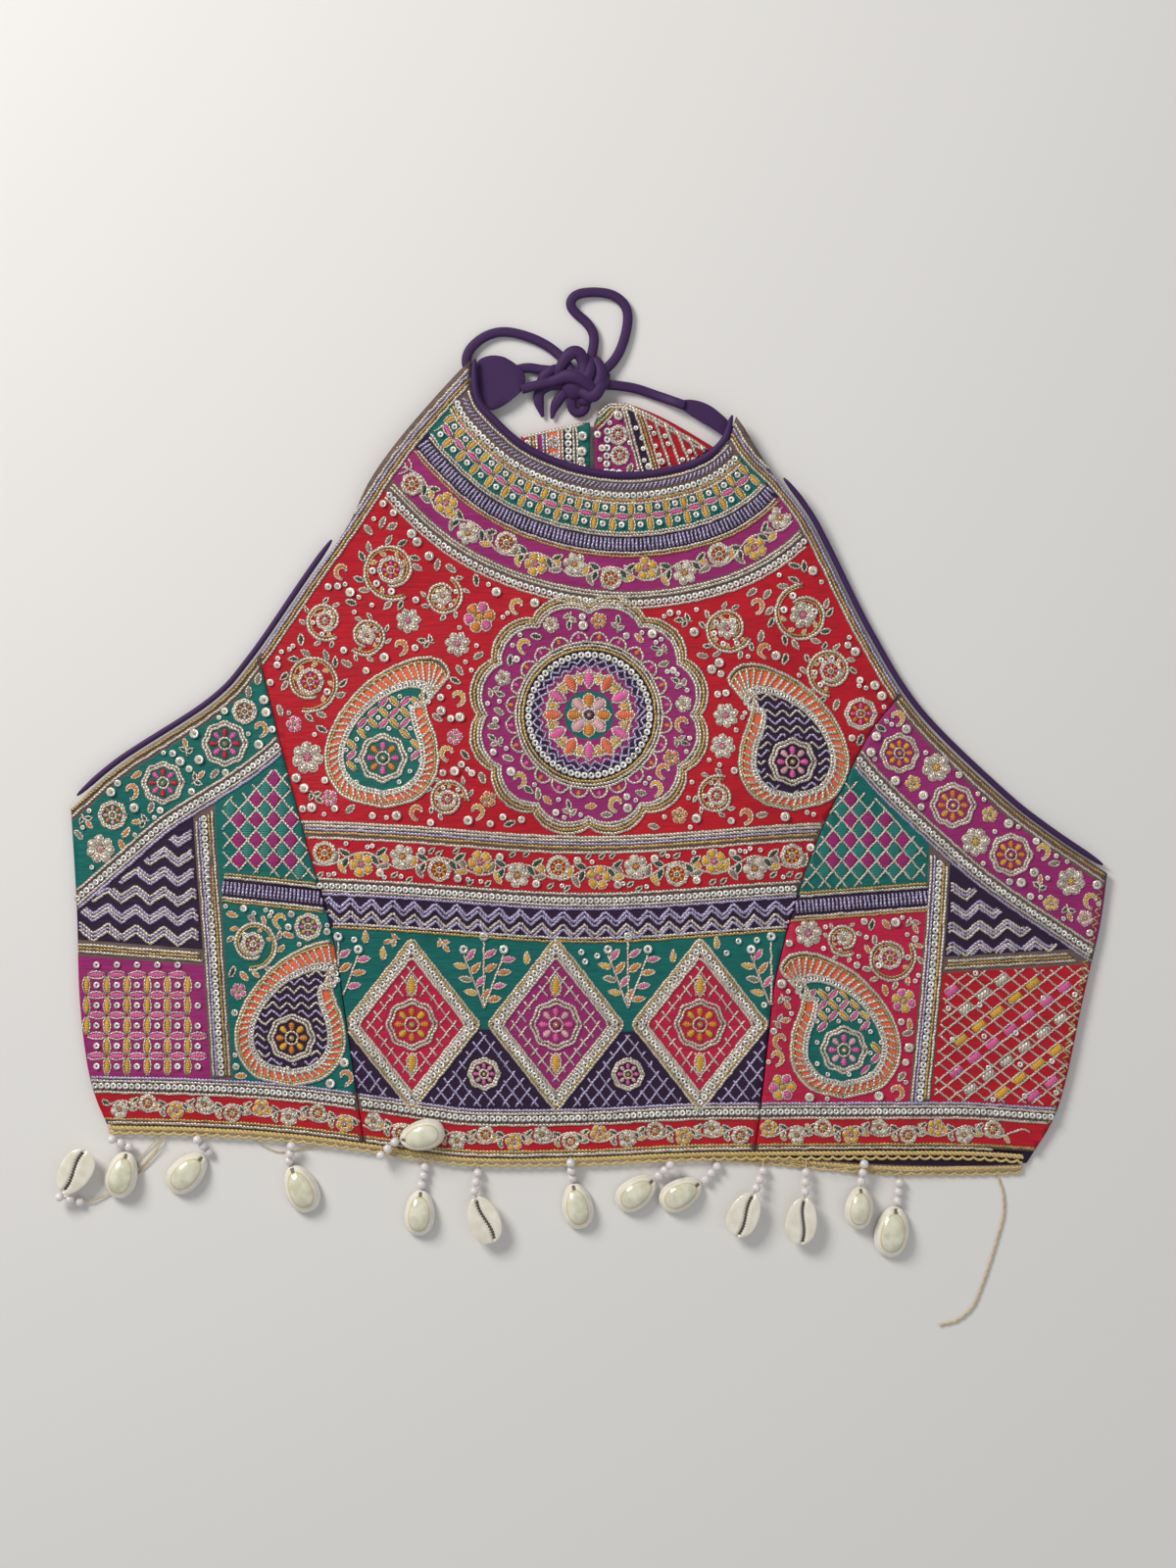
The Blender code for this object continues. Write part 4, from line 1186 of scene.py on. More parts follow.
def trellis(work, edge, pitch, angle=0.0):
    """A trellis of petals that meet at the crossings, with a sequin in each cell."""
    centre, _, count = field_of(edge, pitch)
    u, v = way(angle), way(angle + 90)
    for i in range(-count, count + 1):
        for j in range(-count, count + 1):
            node = centre + (u * i + v * j) * pitch
            for kind, ahead, turn in (("pink", u, angle), ("mustard", v, angle + 90)):
                petal_between(work, kind, node + ahead * pitch * 0.06, turn, pitch * 0.88,
                              pitch * 0.29, edge)
            work.sequin(*(node + (u + v) * pitch / 2), pitch * 0.17, edge)


def petal_between(work, kind, root, angle, length, width, edge=None):
    """A slim petal pointed at both ends, with a raised zari rim."""
    t = np.linspace(0, 1, 6)
    half = width / 2 * np.sin(math.pi * np.clip(t * 0.94 + 0.03, 0, 1))
    axis = np.stack([t * length, t * 0], 1)
    if work.shape(kind, *flanks(axis, half, root, angle), 0.55, edge):
        for flank in flanks(axis, half + 0.35, root, angle):
            work.cord("silver", flank, 0.85, edge, 0.05, 1.8)


def paisley_line():
    """A paisley of height 1 with its foot at the origin and its tip curled to the right."""
    return smooth(((0.0, 0.0), (-0.26, 0.08), (-0.37, 0.30), (-0.30, 0.56), (-0.10, 0.80),
                   (0.16, 0.94), (0.34, 0.95), (0.42, 0.86), (0.36, 0.78), (0.26, 0.76),
                   (0.28, 0.60), (0.34, 0.42), (0.34, 0.22), (0.22, 0.06), (0.0, 0.0)), 0.02)


def paisley(work, foot, size, flip, waved, kinds):
    """A paisley: a barred border, braids and sequins round a filled field with a flower."""
    def shaped(share, up):
        return turned(paisley_line() * share + (0.0, up), foot, 0, size, flip)

    outer, near, far, inner = (shaped(*pair) for pair in (
        (1.0, 0.0), (0.955, 0.015), (0.765, 0.077), (0.70, 0.10)))
    for colour, line, kind, width in (
            ("taupe", outer, "silver", 1.7), ("apricot", near, "gold", 1.4),
            ("taupe", far, "silver", 1.5),
            ("aubergine" if waved else "teal", inner, "silver", 1.4)):
        work.patch(colour, line[:-1])
        work.cord(kind, line, width, step=1.3)
    work.claim(shaped(1.05, -0.012))
    work.sequin_row(shaped(0.733, 0.087)[:-1], 2.7, 1.3)
    for spot in spaced(near, 3.3)[:-1]:
        reach = np.linalg.norm(far - spot, axis=1)
        if reach.min() > 3.0:
            end = far[(int(reach.argmin()) + 2) % len(far)]
            work.cord("silver", np.stack([spot, end]), 1.5, step=1.2)
    middle = turned([(0.0, 0.315)], foot, 0, size, flip)[0]
    core = size * 0.15
    claimed, work.claimed = work.claimed, np.zeros_like(work.claimed)
    work.claim(circle(middle, core * 1.1, 2.0))
    if waved:
        waves(work, inner, ("lilac", "silver"), 3.4, 3.0, 6.0)
    else:
        trellis(work, inner, 6.4, 45)
    work.claimed = claimed
    rosette(work, middle, core, kinds)


def whorl(work, spot, radius, leaves, flowers):
    """A scroll that winds in to a flower, with leaves and sequins along it."""
    flip = random.choice((-1, 1))
    start = random.uniform(0, 360)
    t = np.linspace(0, 1, 60)
    reach = (radius * (0.97 - 0.47 * t))[:, None]
    line = rays(np.radians(start + flip * t * 400)) * reach + spot
    work.cord("silver", line, 1.6, step=1.3)
    work.cord("gold", line + (spot - line) / reach * 1.35, 1.1, step=1.4)
    count = int(radius * 1.1)
    for n in range(count):
        k = int((n + 0.5) / count * 44)
        out = heading(line[k] - spot)
        if n % 3 < 2:
            leaf(work, leaves[n % len(leaves)], line[k] + way(out) * 0.9, out + flip * 52,
                 radius * 0.36, radius * 0.16, 0.1)
        inward = line[k] - way(out) * radius * 0.26
        if work.free(inward, radius * 0.09):
            if n % 2:
                work.sequin(*inward, radius * 0.12)
            else:
                leaf(work, "mustard", line[k] - way(out) * 1.6, out + 180 - flip * 30,
                     radius * 0.24, radius * 0.13, thick=0.8)
    if random.random() < 0.5:
        rosette(work, spot, radius * 0.40, flowers)
    else:
        daisy(work, spot, radius * 0.42, ("silver",), 7, flowers[0])
    work.mark([spot], radius)


def extended(line, extra=16.0):
    """The line run on past both of its ends."""
    line = np.asarray(line, float)
    first, last = line[0] - line[2], line[-1] - line[-3]
    return np.concatenate([[line[0] + first / np.linalg.norm(first) * extra], line,
                           [line[-1] + last / np.linalg.norm(last) * extra]])


def ring_band(line, near, far, extra=14.0):
    """The closed strip between two distances to the side of a line, run on past its ends."""
    line = spaced(extended(spaced(line, 2.0), extra), 3.0)
    return np.concatenate([beside(line, near), beside(line, far)[::-1]])


def scattered(work, edge, motifs):
    """Motifs put wherever a round space of their size is still free, big ones first."""
    low, high = edge.min(0), edge.max(0)
    for radius, tries, motif in motifs:
        spots = np.array([(random.uniform(low[0], high[0]), random.uniform(low[1], high[1]))
                          for _ in range(tries)])
        for spot in spots[inside(spots, edge)]:
            if work.free(spot, radius):
                motif(spot, radius)


def level(y, droop=7.0):
    """A line across the front at a height, which sinks a little in the middle."""
    x = np.linspace(-232.0, 236.0, 160)
    return np.stack([x, y - droop * np.exp(-((x - 4) / 75) ** 2)], 1)


def between(upper, lower):
    return np.concatenate([upper, lower[::-1]])


def lozenge(middle, wide, tall):
    x, y = middle
    return spaced([(x, y - tall), (x + wide, y), (x, y + tall), (x - wide, y), (x, y - tall)], 3.0)


def field(*corners):
    return np.array(corners, float)


def garden(work, edge, leaves=("bottle", "drab"), flowers=("pink", "orange"), big=1.0, whorls=True):
    """Scrolls, flowers, sprigs, curls and sequins closely over a field."""
    def flower(spot, radius):
        choice = random.random()
        if choice < 0.4:
            rosette(work, spot, radius * 0.95, flowers)
        elif choice < 0.75:
            daisy(work, spot, radius, ("silver",), 7, flowers[0])
        else:
            daisy(work, spot, radius, (flowers[1], flowers[0]), 6, "mustard")

    def small(spot, radius):
        daisy(work, spot, radius, (random.choice(flowers),), 5, "ivory")

    def dot(spot, radius):
        work.sequin(*spot, radius)
        work.bead(*spot, radius * 0.34)

    def one_leaf(spot, radius):
        angle = random.uniform(0, 360)
        leaf(work, random.choice(leaves), spot - way(angle) * radius, angle, radius * 2.0,
             radius * 0.85)

    def one_curl(spot, radius):
        curl(work, spot - (0, radius * 0.9), radius * 1.8, random.choice(("mustard", "orange")),
             random.random() < 0.5)

    winding = ((13.5 * big, 500), (11.0 * big, 700), (9.0 * big, 900)) if whorls else ()
    scattered(work, edge, (
        *((r, n, lambda s, r: whorl(work, s, r, leaves, flowers)) for r, n in winding),
        (6.8 * big, 700, flower), (5.2, 900, flower),
        (4.4, 1200, lambda s, r: sprig(work, s, r, leaves)), (3.9, 1200, one_curl),
        (3.3, 1500, small), (2.7, 2500, one_leaf), (2.1, 3000, dot), (1.6, 3000, dot),
        (1.1, 3000, dot)))


# The embroidery of the front, panel by panel
NECK_LINE = smooth(NECK, 2.0)
HEM_LINE = smooth(HEM_FRONT, 2.0)
LEFT_ARM = smooth(ARMHOLE_LEFT, 2.0)
RIGHT_ARM = smooth(ARMHOLE_RIGHT, 2.0)
BELT = {name: level(y) for name, y in (
    ("top", -4.0), ("vine", -11.5), ("vine_end", -28.0), ("chevron", -35.5), ("foot", -49.0))}


def sunburst(work, middle, radius):
    """A round medallion: a star flower, two rings of petals, chevrons and sequins."""
    middle = np.asarray(middle, float)
    for colour, share in (("aubergine", 1.0), ("magenta", 0.68), ("teal", 0.34)):
        work.patch(colour, circle(middle, radius * share, 3.0)[:-1])
    work.claim(circle(middle, radius + 5.0, 3.0))
    for distance, kind in ((0, "silver"), (-1.45, "silver"), (-2.9, "gold"), (-13.2, "silver"),
                           (-14.6, "gold"), (-26.8, "silver"), (-28.2, "silver")):
        work.cord(kind, circle(middle, radius + distance), 1.45)
    work.sequin_row(circle(middle, radius - 5.4)[:-1], 2.9, 1.5)
    for distance in (-7.9, -10.2):
        zigzag(work, circle(middle, radius + distance), "lilac", 2.4, 4.6, 1.15)
    for i in range(12):
        angle = i * 30
        petal(work, "pink" if i % 2 else "coral", middle + way(angle) * radius * 0.36, angle,
              radius * 0.27, radius * 0.17, 1.15)
        leaf(work, "mustard", middle + way(angle + 15) * radius * 0.42, angle + 15, radius * 0.20,
             radius * 0.075)
    daisy(work, middle, radius * 0.30, ("orange", "blush"), 8, "plum", start=0.0)
    for i in range(24):
        angle = i * 15 + 7.5
        spot = middle + way(angle) * radius * 1.02
        work.cord("silver", circle(spot, 3.6, 1.0, angle - 100, angle + 100), 1.3, step=1.2)
        leaf(work, "orange" if i % 2 else "pink", spot + way(angle) * 0.4, angle, 3.0, 2.0, thick=0)


def yoke(work):
    """Bands that follow the neckline."""
    work.claim(ring_band(NECK_LINE, 6.0, -54.0))
    for colour, near, far in (
            ("taupe", 2.0, -9.6), ("teal", -9.0, -25.0), ("aubergine", -25.0, -33.0),
            ("magenta", -33.0, -49.0), ("taupe", -48.6, -54.0)):
        work.patch(colour, ring_band(NECK_LINE, near, far))
    rows_of(work, NECK_LINE, ("silver", "chain", "sequins", "gold", "silver"), 2.6, -1)
    for share, kind in ((0.0, "gold"), (1.0, "silver")):
        work.cord(kind, extended(beside(NECK_LINE, -10.6 - share * 13.6)), 1.3)
    line = spaced(extended(beside(NECK_LINE, -17.4)), 7.6)
    for middle, ahead, side in zip(line, *ways(line)):
        turn = heading(ahead)
        for row in (-3.4, 3.4):
            spot = middle + side * row
            petal_between(work, "mustard", spot - side * 3.1, turn + 90, 6.2, 2.3)
            petal_between(work, "pink", spot + ahead * 0.6 + side * 3.4, turn, 6.4, 2.1)
            work.sequin(*(spot + ahead * 3.8), 1.4)
    comb(work, extended(beside(NECK_LINE, -29.0)), 2.5)
    for distance, kind in ((25.4, "silver"), (32.6, "silver"), (34.0, "gold")):
        work.cord(kind, extended(beside(NECK_LINE, -distance)), 1.3)
    vine(work, extended(beside(NECK_LINE, -41.6), 8.0), 6.8)
    rows_of(work, NECK_LINE, ("silver", "silver", "sequins", "silver"), 49.6, -1)


def bust(work):
    """Scarlet field round the medallion, with two paisleys among close flowers."""
    work.claim(between(BELT["top"] + (0, 1.0), level(-170.0)))
    for arm, side in ((LEFT_ARM, 1), (RIGHT_ARM, -1)):
        work.patch("taupe", ring_band(arm, side * -2.0, side * 7.6))
        work.unpick(ring_band(arm, side * -4.0, side * 8.2))
        work.claim(ring_band(arm, side * -2.0, side * 8.6))
        rows_of(work, arm, ("silver", "lilac", "gold", "silver"), 2.6, side)
    heart = (4.0, 40.0)
    turn = np.radians(np.arange(0, 360, 2.0))
    ogee = rays(turn) * (45.4 + 4.2 * np.abs(np.sin(6 * turn)) ** 0.7)[:, None]
    work.patch("taupe", ogee * 1.04 + heart)
    work.patch("magenta", ogee * 0.955 + heart)
    for share, kind in ((1.035, "silver"), (1.003, "gold"), (0.972, "silver"), (0.944, "silver")):
        work.cord(kind, np.concatenate([ogee, ogee[:1]]) * share + heart, 1.5, step=1.3)
    sunburst(work, heart, 31.0)
    garden(work, ogee * 0.93 + heart, ("bottle", "drab", "orange"), ("silver", "orange"), 0.8,
           False)
    work.claim(ogee * 1.06 + heart)
    paisley(work, (-83.0, 1.0), 66.0, False, False, ("pink", "orange"))
    paisley(work, (90.0, 0.0), 64.0, True, True, ("pink", "blush"))
    garden(work, between(level(150.0), BELT["top"] + (0, 1.5)))


def belt(work):
    """A vine between wide braids, and a row of chevrons, across under the bust."""
    lines = list(BELT.values())
    for colour, upper, lower in zip(("taupe", "scarlet", "taupe", "aubergine"), lines, lines[1:]):
        work.patch(colour, between(upper, lower))
    rows_of(work, BELT["top"], ("silver", "silver", "lilac", "gold", "dark", "silver"), 0.7, -1)
    vine(work, BELT["vine"] * 0.5 + BELT["vine_end"] * 0.5, 7.2)
    rows_of(work, BELT["vine_end"], ("silver", "sequins", "silver", "lilac"), 0.7, -1)
    for share, kind in ((0.22, "lilac"), (0.36, "lilac"), (0.62, "silver"), (0.76, "lilac")):
        zigzag(work, BELT["chevron"] * (1 - share) + BELT["foot"] * share, kind, 4.4, 9.0, 1.5)
    rows_of(work, BELT["foot"], ("silver", "gold"), -1.6, -1)


def midriff(work):
    """Lozenges with sprays above them and net below."""
    half_way, low_edge = level(-91.0, 3.0), beside(HEM_LINE, 20.0)
    work.patch("teal", between(BELT["foot"], half_way))
    work.patch("aubergine", between(half_way, low_edge))
    for x, ground, kinds in ((-71.0, "rose", ("orange", "mustard")),
                             (-10.0, "magenta", ("pink", "blush")),
                             (51.0, "rose", ("orange", "mustard"))):
        middle = np.array((x, -91.0))
        for size, colour in ((1.0, "taupe"), (0.80, ground)):
            work.patch(colour, lozenge(middle, 29.0 * size, 37.0 * size)[:-1])
        work.claim(lozenge(middle, 31.0, 39.5))
        for share, kind in ((1.0, "silver"), (0.955, "gold"), (0.83, "silver"), (0.785, "silver")):
            work.cord(kind, lozenge(middle, 29.0 * share, 37.0 * share), 1.45)
        work.sequin_row(lozenge(middle, 29.0 * 0.893, 37.0 * 0.893)[:-1], 2.9, 1.5)
        claimed, work.claimed = work.claimed, np.zeros_like(work.claimed)
        work.claim(circle(middle, 11.6, 2.0))
        lattice(work, lozenge(middle, 21.5, 27.5), "silver", 4.6, 52, middle, 1.0)
        work.claimed = claimed
        rosette(work, middle, 10.4, kinds)
        for angle in (90, -90):
            leaf(work, "mustard", middle + (0, math.copysign(12.0, angle)), angle, 9.0, 4.4)
    t = np.linspace(0, 1, 7)
    for x in (-102.0, -40.5, 20.5, 81.0):
        for lean in (-22, 0, 22):
            reach = 28.0 - abs(lean) * 0.25
            line = np.array((x, -84.0)) + np.stack(
                [math.sin(math.radians(lean)) * reach * t, reach * t], 1)
            branch(work, line, ("orange", "mustard", "pink", "drab"), 6.0, 6.0, 1.2)
            work.sequin(*(line[-1] + (0, 2.4)), 2.0)
    for x in (-40.5, 20.5):
        rosette(work, (x, -112.0), 6.5, ("pink", "blush"))
        work.claim(circle((x, -112.0), 8.0, 2.0))
    net = between(level(-92.0, 3.0), low_edge + (0, 1.0))
    lattice(work, net, "lilac", 4.8, 52, (-40.5, -112.0), 1.05)
    scattered(work, between(BELT["foot"] - (0, 3.0), half_way), (
        (4.2, 300, lambda s, r: sprig(work, s, r, ("orange", "drab"))),
        (2.8, 400, lambda s, r: leaf(work, "mustard", s - (0, r), 90, r * 2, r * 0.9)),
        (2.0, 500, lambda s, r: work.sequin(*s, 1.4))))


def hem_band(work):
    """A vine between braids along the hem, the same on every panel."""
    work.patch("taupe", ring_band(HEM_LINE, -4.0, 4.6))
    work.patch("scarlet", ring_band(HEM_LINE, 4.4, 15.4))
    work.patch("taupe", ring_band(HEM_LINE, 15.2, 22.2))
    rows_of(work, HEM_LINE, ("silver", "gold"), 2.9)
    rows_of(work, HEM_LINE, ("silver", "sequins", "silver", "lilac"), 15.6)
    vine(work, beside(HEM_LINE, 9.9), 5.2)


def side_panel(work, left):
    """Bands along the armhole, then fields parted by braids."""
    arm, side = (LEFT_ARM, 1) if left else (RIGHT_ARM, -1)
    everywhere = field((-240, -170), (240, -170), (240, 200), (-240, 200))
    work.claim(ring_band(HEM_LINE, -4.0, 22.5))
    if left:
        parting = smooth(((-157, 70), (-159, 0), (-155, -60), (-150, -140)), 2.0)
        cross = spaced(((-232.0, -57.0), (-155.0, -63.0)), 2.0)
        high = field((-232, -58), (-156, -64), (-156, 70), (-232, 70))
        low = field((-232, -56), (-155, -62), (-148, -150), (-232, -150))
        patches = (("aubergine", high), ("magenta", low),
                   ("teal", field((-160, 70), (-155, -30), (-80, -40), (-80, 90))),
                   ("teal", field((-155, -30), (-149, -150), (-80, -150), (-80, -36))))
    else:
        parting = smooth(((152, 60), (153, 0), (150, -60), (142, -145)), 2.0)
        cross = spaced(((150.0, -66.0), (236.0, -61.0)), 2.0)
        high = field((150, -66), (236, -62), (236, 60), (150, 60))
        low = field((150, -64), (236, -60), (236, -160), (140, -160))
        patches = (("aubergine", high), ("scarlet", low),
                   ("teal", field((152, 70), (152, -34), (80, -40), (80, 90))),
                   ("rose", field((152, -34), (142, -150), (60, -150), (80, -40))))
    for patch in patches:
        work.patch(*patch)

    # Bands of flowers along the armhole
    long_arm = spaced(extended(arm, 44.0), 2.0)
    work.patch("taupe", ring_band(parting, -4.6, 4.6))
    work.patch("taupe", ring_band(cross, -3.4, 3.4, 0.1))
    work.patch("teal" if left else "magenta", ring_band(long_arm, side * 2.0, side * 31.0))
    work.patch("taupe", ring_band(long_arm, side * 30.6, side * 38.0))
    work.patch("taupe", ring_band(arm, side * -2.0, side * 8.0))
    rows_of(work, arm, ("silver", "gold", "dark", "silver"), 2.8, side)
    rows_of(work, long_arm, ("silver", "sequins", "silver", "lilac"), 31.4, side)
    line = beside(arm, side * 19.5)
    for share, radius in ((0.50, 7.5), (0.62, 8.0), (0.74, 9.2), (0.86, 8.6)):
        spot = line[int(share * (len(line) - 1))]
        if work.free(spot, radius * 0.7):
            rosette(work, spot, radius, ("red", "pink") if left else ("orange", "mustard"))
    garden(work, ring_band(arm, side * 8.0, side * 30.0), ("orange", "bottle", "drab"),
           ("blush", "orange") if left else ("mustard", "blush"), 0.9, False)
    work.claim(ring_band(arm, 0.0, side * 40.0))
    work.claim(ring_band(long_arm, side * 2.0, side * 38.6))
    work.claim(ring_band(arm, side * -60.0, side * 2.0))

    # The two long partings
    braid(work, parting, ("silver", "lilac", "gold", "silver"), 1.5, everywhere)
    work.claim(ring_band(parting, -5.0, 5.0))
    braid(work, cross, ("silver", "gold", "silver"), edge=everywhere)
    work.claim(ring_band(cross, -3.4, 3.4, 0.1))

    # Outer fields
    waves(work, high, ("silver", "lilac"), 8.4, 4.6, 12.0, -0.06 * side, 1.5, 3)
    if left:
        trellis(work, low, 8.6)
    else:
        blocks(work, low, 9.4, ("mustard", "pink", "silver"))

    # Inner fields: lozenge cells, a comb row, and a paisley in flowers
    if left:
        upper = field((-153, 60), (-151, -26), (-84, -34), (-84, 90))
        lower = field((-151, -40), (-145, -150), (-84, -150), (-84, -46))
        bridge = spaced([(-151.0, -33.0), (-84.0, -40.0)], 2.0)
    else:
        upper = field((148, 60), (148, -30), (80, -36), (80, 90))
        lower = field((147, -44), (137, -150), (60, -150), (80, -48))
        bridge = spaced([(80.0, -42.0), (148.0, -37.0)], 2.0)
    work.patch("aubergine", ring_band(bridge, -5.0, 5.0, 0.1))
    comb(work, bridge, 2.6)
    for distance in (-4.4, 4.4):
        work.cord("silver", beside(bridge, distance), 1.4)
        work.cord("gold", beside(bridge, distance * 1.3), 1.2)
    work.claim(ring_band(bridge, -6.4, 6.4, 0.1))
    checker(work, upper, 7.4, 8.6, ("sea", "magenta"))
    paisley(work, (-122.0, -117.0) if left else (112.0, -122.0), 64.0, not left, left,
            ("orange", "mustard") if left else ("pink", "blush"))
    garden(work, lower, ("orange", "drab", "bottle"), ("pink", "mustard"), 0.85)
    hem_band(work)
    if not left:
        seam = work.outline[(work.outline[:, 0] > 190) & (np.abs(work.outline[:, 1] + 82) < 52)]
        zigzag(work, seam[np.argsort(seam[:, 1])] - (2.2, 0), "gold", 2.6, 3.2, 0.9)


# Tubes, ropes and other trim
def sides_of(line):
    """Unit steps to the side of a line of x, y and z and away from it upwards."""
    ahead = np.gradient(line, axis=0)
    ahead /= np.linalg.norm(ahead, axis=1, keepdims=True)
    side = np.cross((0.0, 0.0, 1.0), ahead)
    side /= np.maximum(np.linalg.norm(side, axis=1, keepdims=True), 1e-6)
    return side, np.cross(ahead, side)


def swept(lines, radii, sides, flat=1.0):
    """Points, faces and thread values of closed tubes along lines of x, y and z."""
    points, faces, own = [], [], []
    turn = np.arange(sides) / sides * math.tau
    for line, radius in zip(lines, radii):
        side, up = sides_of(line)
        radius = np.broadcast_to(radius, (len(line),))[:, None, None]
        ring = (line[:, None] + side[:, None] * np.cos(turn)[None, :, None] * radius
                + up[:, None] * np.sin(turn)[None, :, None] * radius * flat)
        faces += tube_faces(len(line), sides, sum(map(len, points)))
        points.append(ring.reshape(-1, 3))
        own.append(np.stack([np.repeat(reach_of(line), sides), np.tile(turn / math.tau, len(line)),
                             np.full(len(line) * sides, random.random())], 1))
    return np.concatenate(points), faces, np.concatenate(own)


def tubes(name, lines, radii, sides, material, flat=1.0):
    """A piece of closed tubes of one material."""
    points, faces, own = swept(lines, radii, sides, flat)
    return piece(name, points, faces, None, [material], own)


def wound(line, radius, pitch):
    """Two strands that wind round a line as a rope's do."""
    line = spaced(line, pitch / 10)
    side, up = sides_of(line)
    found = []
    for strand in (0.0, 0.5):
        turn = (reach_of(line) / pitch + strand)[:, None] * math.tau
        found.append(line + (side * np.cos(turn) + up * np.sin(turn)) * radius)
    return found


def part_of(line, first, last):
    """A line from one share of its points to another."""
    return line[int(first * (len(line) - 1)):int(last * (len(line) - 1))]


def up_to_piping(outline):
    """The middle panel's outline with its neck edge carried up to the piping."""
    edge = beside(smooth(NECK, 1.0), -(PIPING_WIDTH / 2 + 0.1))
    gaps = np.linalg.norm(outline[:, None] - edge[None], axis=2)
    near = gaps.min(axis=1) < NECK_GAP
    outline, gaps, near = (np.roll(values, -int(np.argmin(near)), axis=0)
                           for values in (outline, gaps, near))
    run = np.flatnonzero(near)
    first, last = gaps[run[0]].argmin(), gaps[run[-1]].argmin()
    new = edge[first:last + 1] if first < last else edge[last:first + 1][::-1]
    return np.concatenate([outline[:run[0]], new, outline[run[-1] + 1:]])


def pipings():
    """Corded piping, thinner at its ends, along the neck and the armholes."""
    lines = [("neck", "neck_piping", NECK_LINE, PIPING_WIDTH)]
    for name, table, first, side in (("left", ARMHOLE_LEFT, 0.38, 1),
                                     ("right", ARMHOLE_RIGHT, 0.13, -1)):
        inset = side * (ARM_PIPING_WIDTH / 2 - 0.35)
        arm = beside(part_of(smooth(table, 0.5), first, 0.996), inset)
        lines.append((f"armhole_{name}", f"armhole_piping_{name}", spaced(arm, 2.0),
                      ARM_PIPING_WIDTH))
    for name, node, line, width in lines:
        height = front_under(line[:, 0], line[:, 1]) + PIPING_LIFT
        reach = reach_of(line)
        from_end = np.minimum(reach, reach[-1] - reach)
        thick = 0.30 + 0.70 * np.sqrt(np.clip(from_end / 9.0, 0.0, 1.0))
        replaced(tubes(f"piping_{name}", [np.column_stack([line, height])], [width / 2 * thick], 12,
                       "piping"), node)


def hem_braids():
    """Along each hem, a rope of two strands with a row of small scallops."""
    for name, table, first, low in (("front", HEM_FRONT, 0.002, 1.9),
                                    ("back", HEM_BACK, 0.004, 0.3)):
        hem = part_of(smooth(table, 0.5), first, 0.996)
        line = np.column_stack([beside(hem, 0.55), np.full(len(hem), low + 0.85)])
        edge = spaced(beside(hem, -0.9), SCALLOP_STEP)
        along = np.arange(len(edge)) * SCALLOP_STEP / SCALLOP * math.pi
        loops = beside(edge, -1.15 * np.abs(np.sin(along)) ** 0.7)
        loops = np.column_stack([loops, low + 0.55 + 0.25 * np.abs(np.cos(along))])
        replaced(tubes(f"braid_{name}", [*wound(line, 0.50, 3.6), loops], [0.62, 0.62, 0.52], 6,
                       "braid"), f"hem_braid_{name}")


def tie():
    """The fabric tube, in two lengths that meet in the knot."""
    lengths = {
        "tie_left": ((*TIE_CORD_LEFT, (-3.0, 184.5, 4.4), *TIE_LOOP_LEFT, (-8.0, 181.4, 3.4),
                      (-13.2, 179.6, 2.4), *TIE_END_LEFT),
                     ("tie_cord_left", "tie_loop_left", "tie_end_left")),
        "tie_right": ((*TIE_CORD_RIGHT, (-1.5, 182.5, 4.4), *TIE_LOOP_UPPER, (1.6, 179.2, 3.8),
                       *TIE_LOOP_LOWER[::-1], (-3.6, 179.0, 3.2), *TIE_END_RIGHT),
                      ("tie_cord_right", "tie_loop_upper", "tie_loop_lower", "tie_end_right")),
    }
    for name, (points, nodes) in lengths.items():
        line = smooth(points, 1.3)
        for _ in range(3):
            line[1:-1] = line[1:-1] * 0.5 + (line[:-2] + line[2:]) * 0.25
        line[:, 2] = np.maximum(line[:, 2], 1.62)
        curve = bpy.data.curves.new(name, "CURVE")
        curve.dimensions = "3D"
        curve.twist_mode = "Z_UP"
        curve.bevel_depth = TIE_HEIGHT / 2 * MM
        curve.bevel_resolution = 4
        curve.extrude = (TIE_WIDTH - TIE_HEIGHT) / 2 * MM
        curve.use_fill_caps = True
        spline = curve.splines.new("POLY")
        spline.points.add(len(line) - 1)
        for i, (spot, point) in enumerate(zip(spline.points, line)):
            spot.co = (*placed(point), 1.0)
            spot.tilt = math.pi / 2
            left = (len(line) - 1 - i) / 5.0
            spot.radius = 0.30 + 0.80 * min(1.0, left) - 0.10 * min(1.0, left / 4)
        curve.materials.append(MATERIALS["piping"])
        thing = ridden(in_scene(bpy.data.objects.new(name, curve)))
        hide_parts(*nodes)
        length_of(line)
        [tie_wraps()] if name == "tie_left" else []


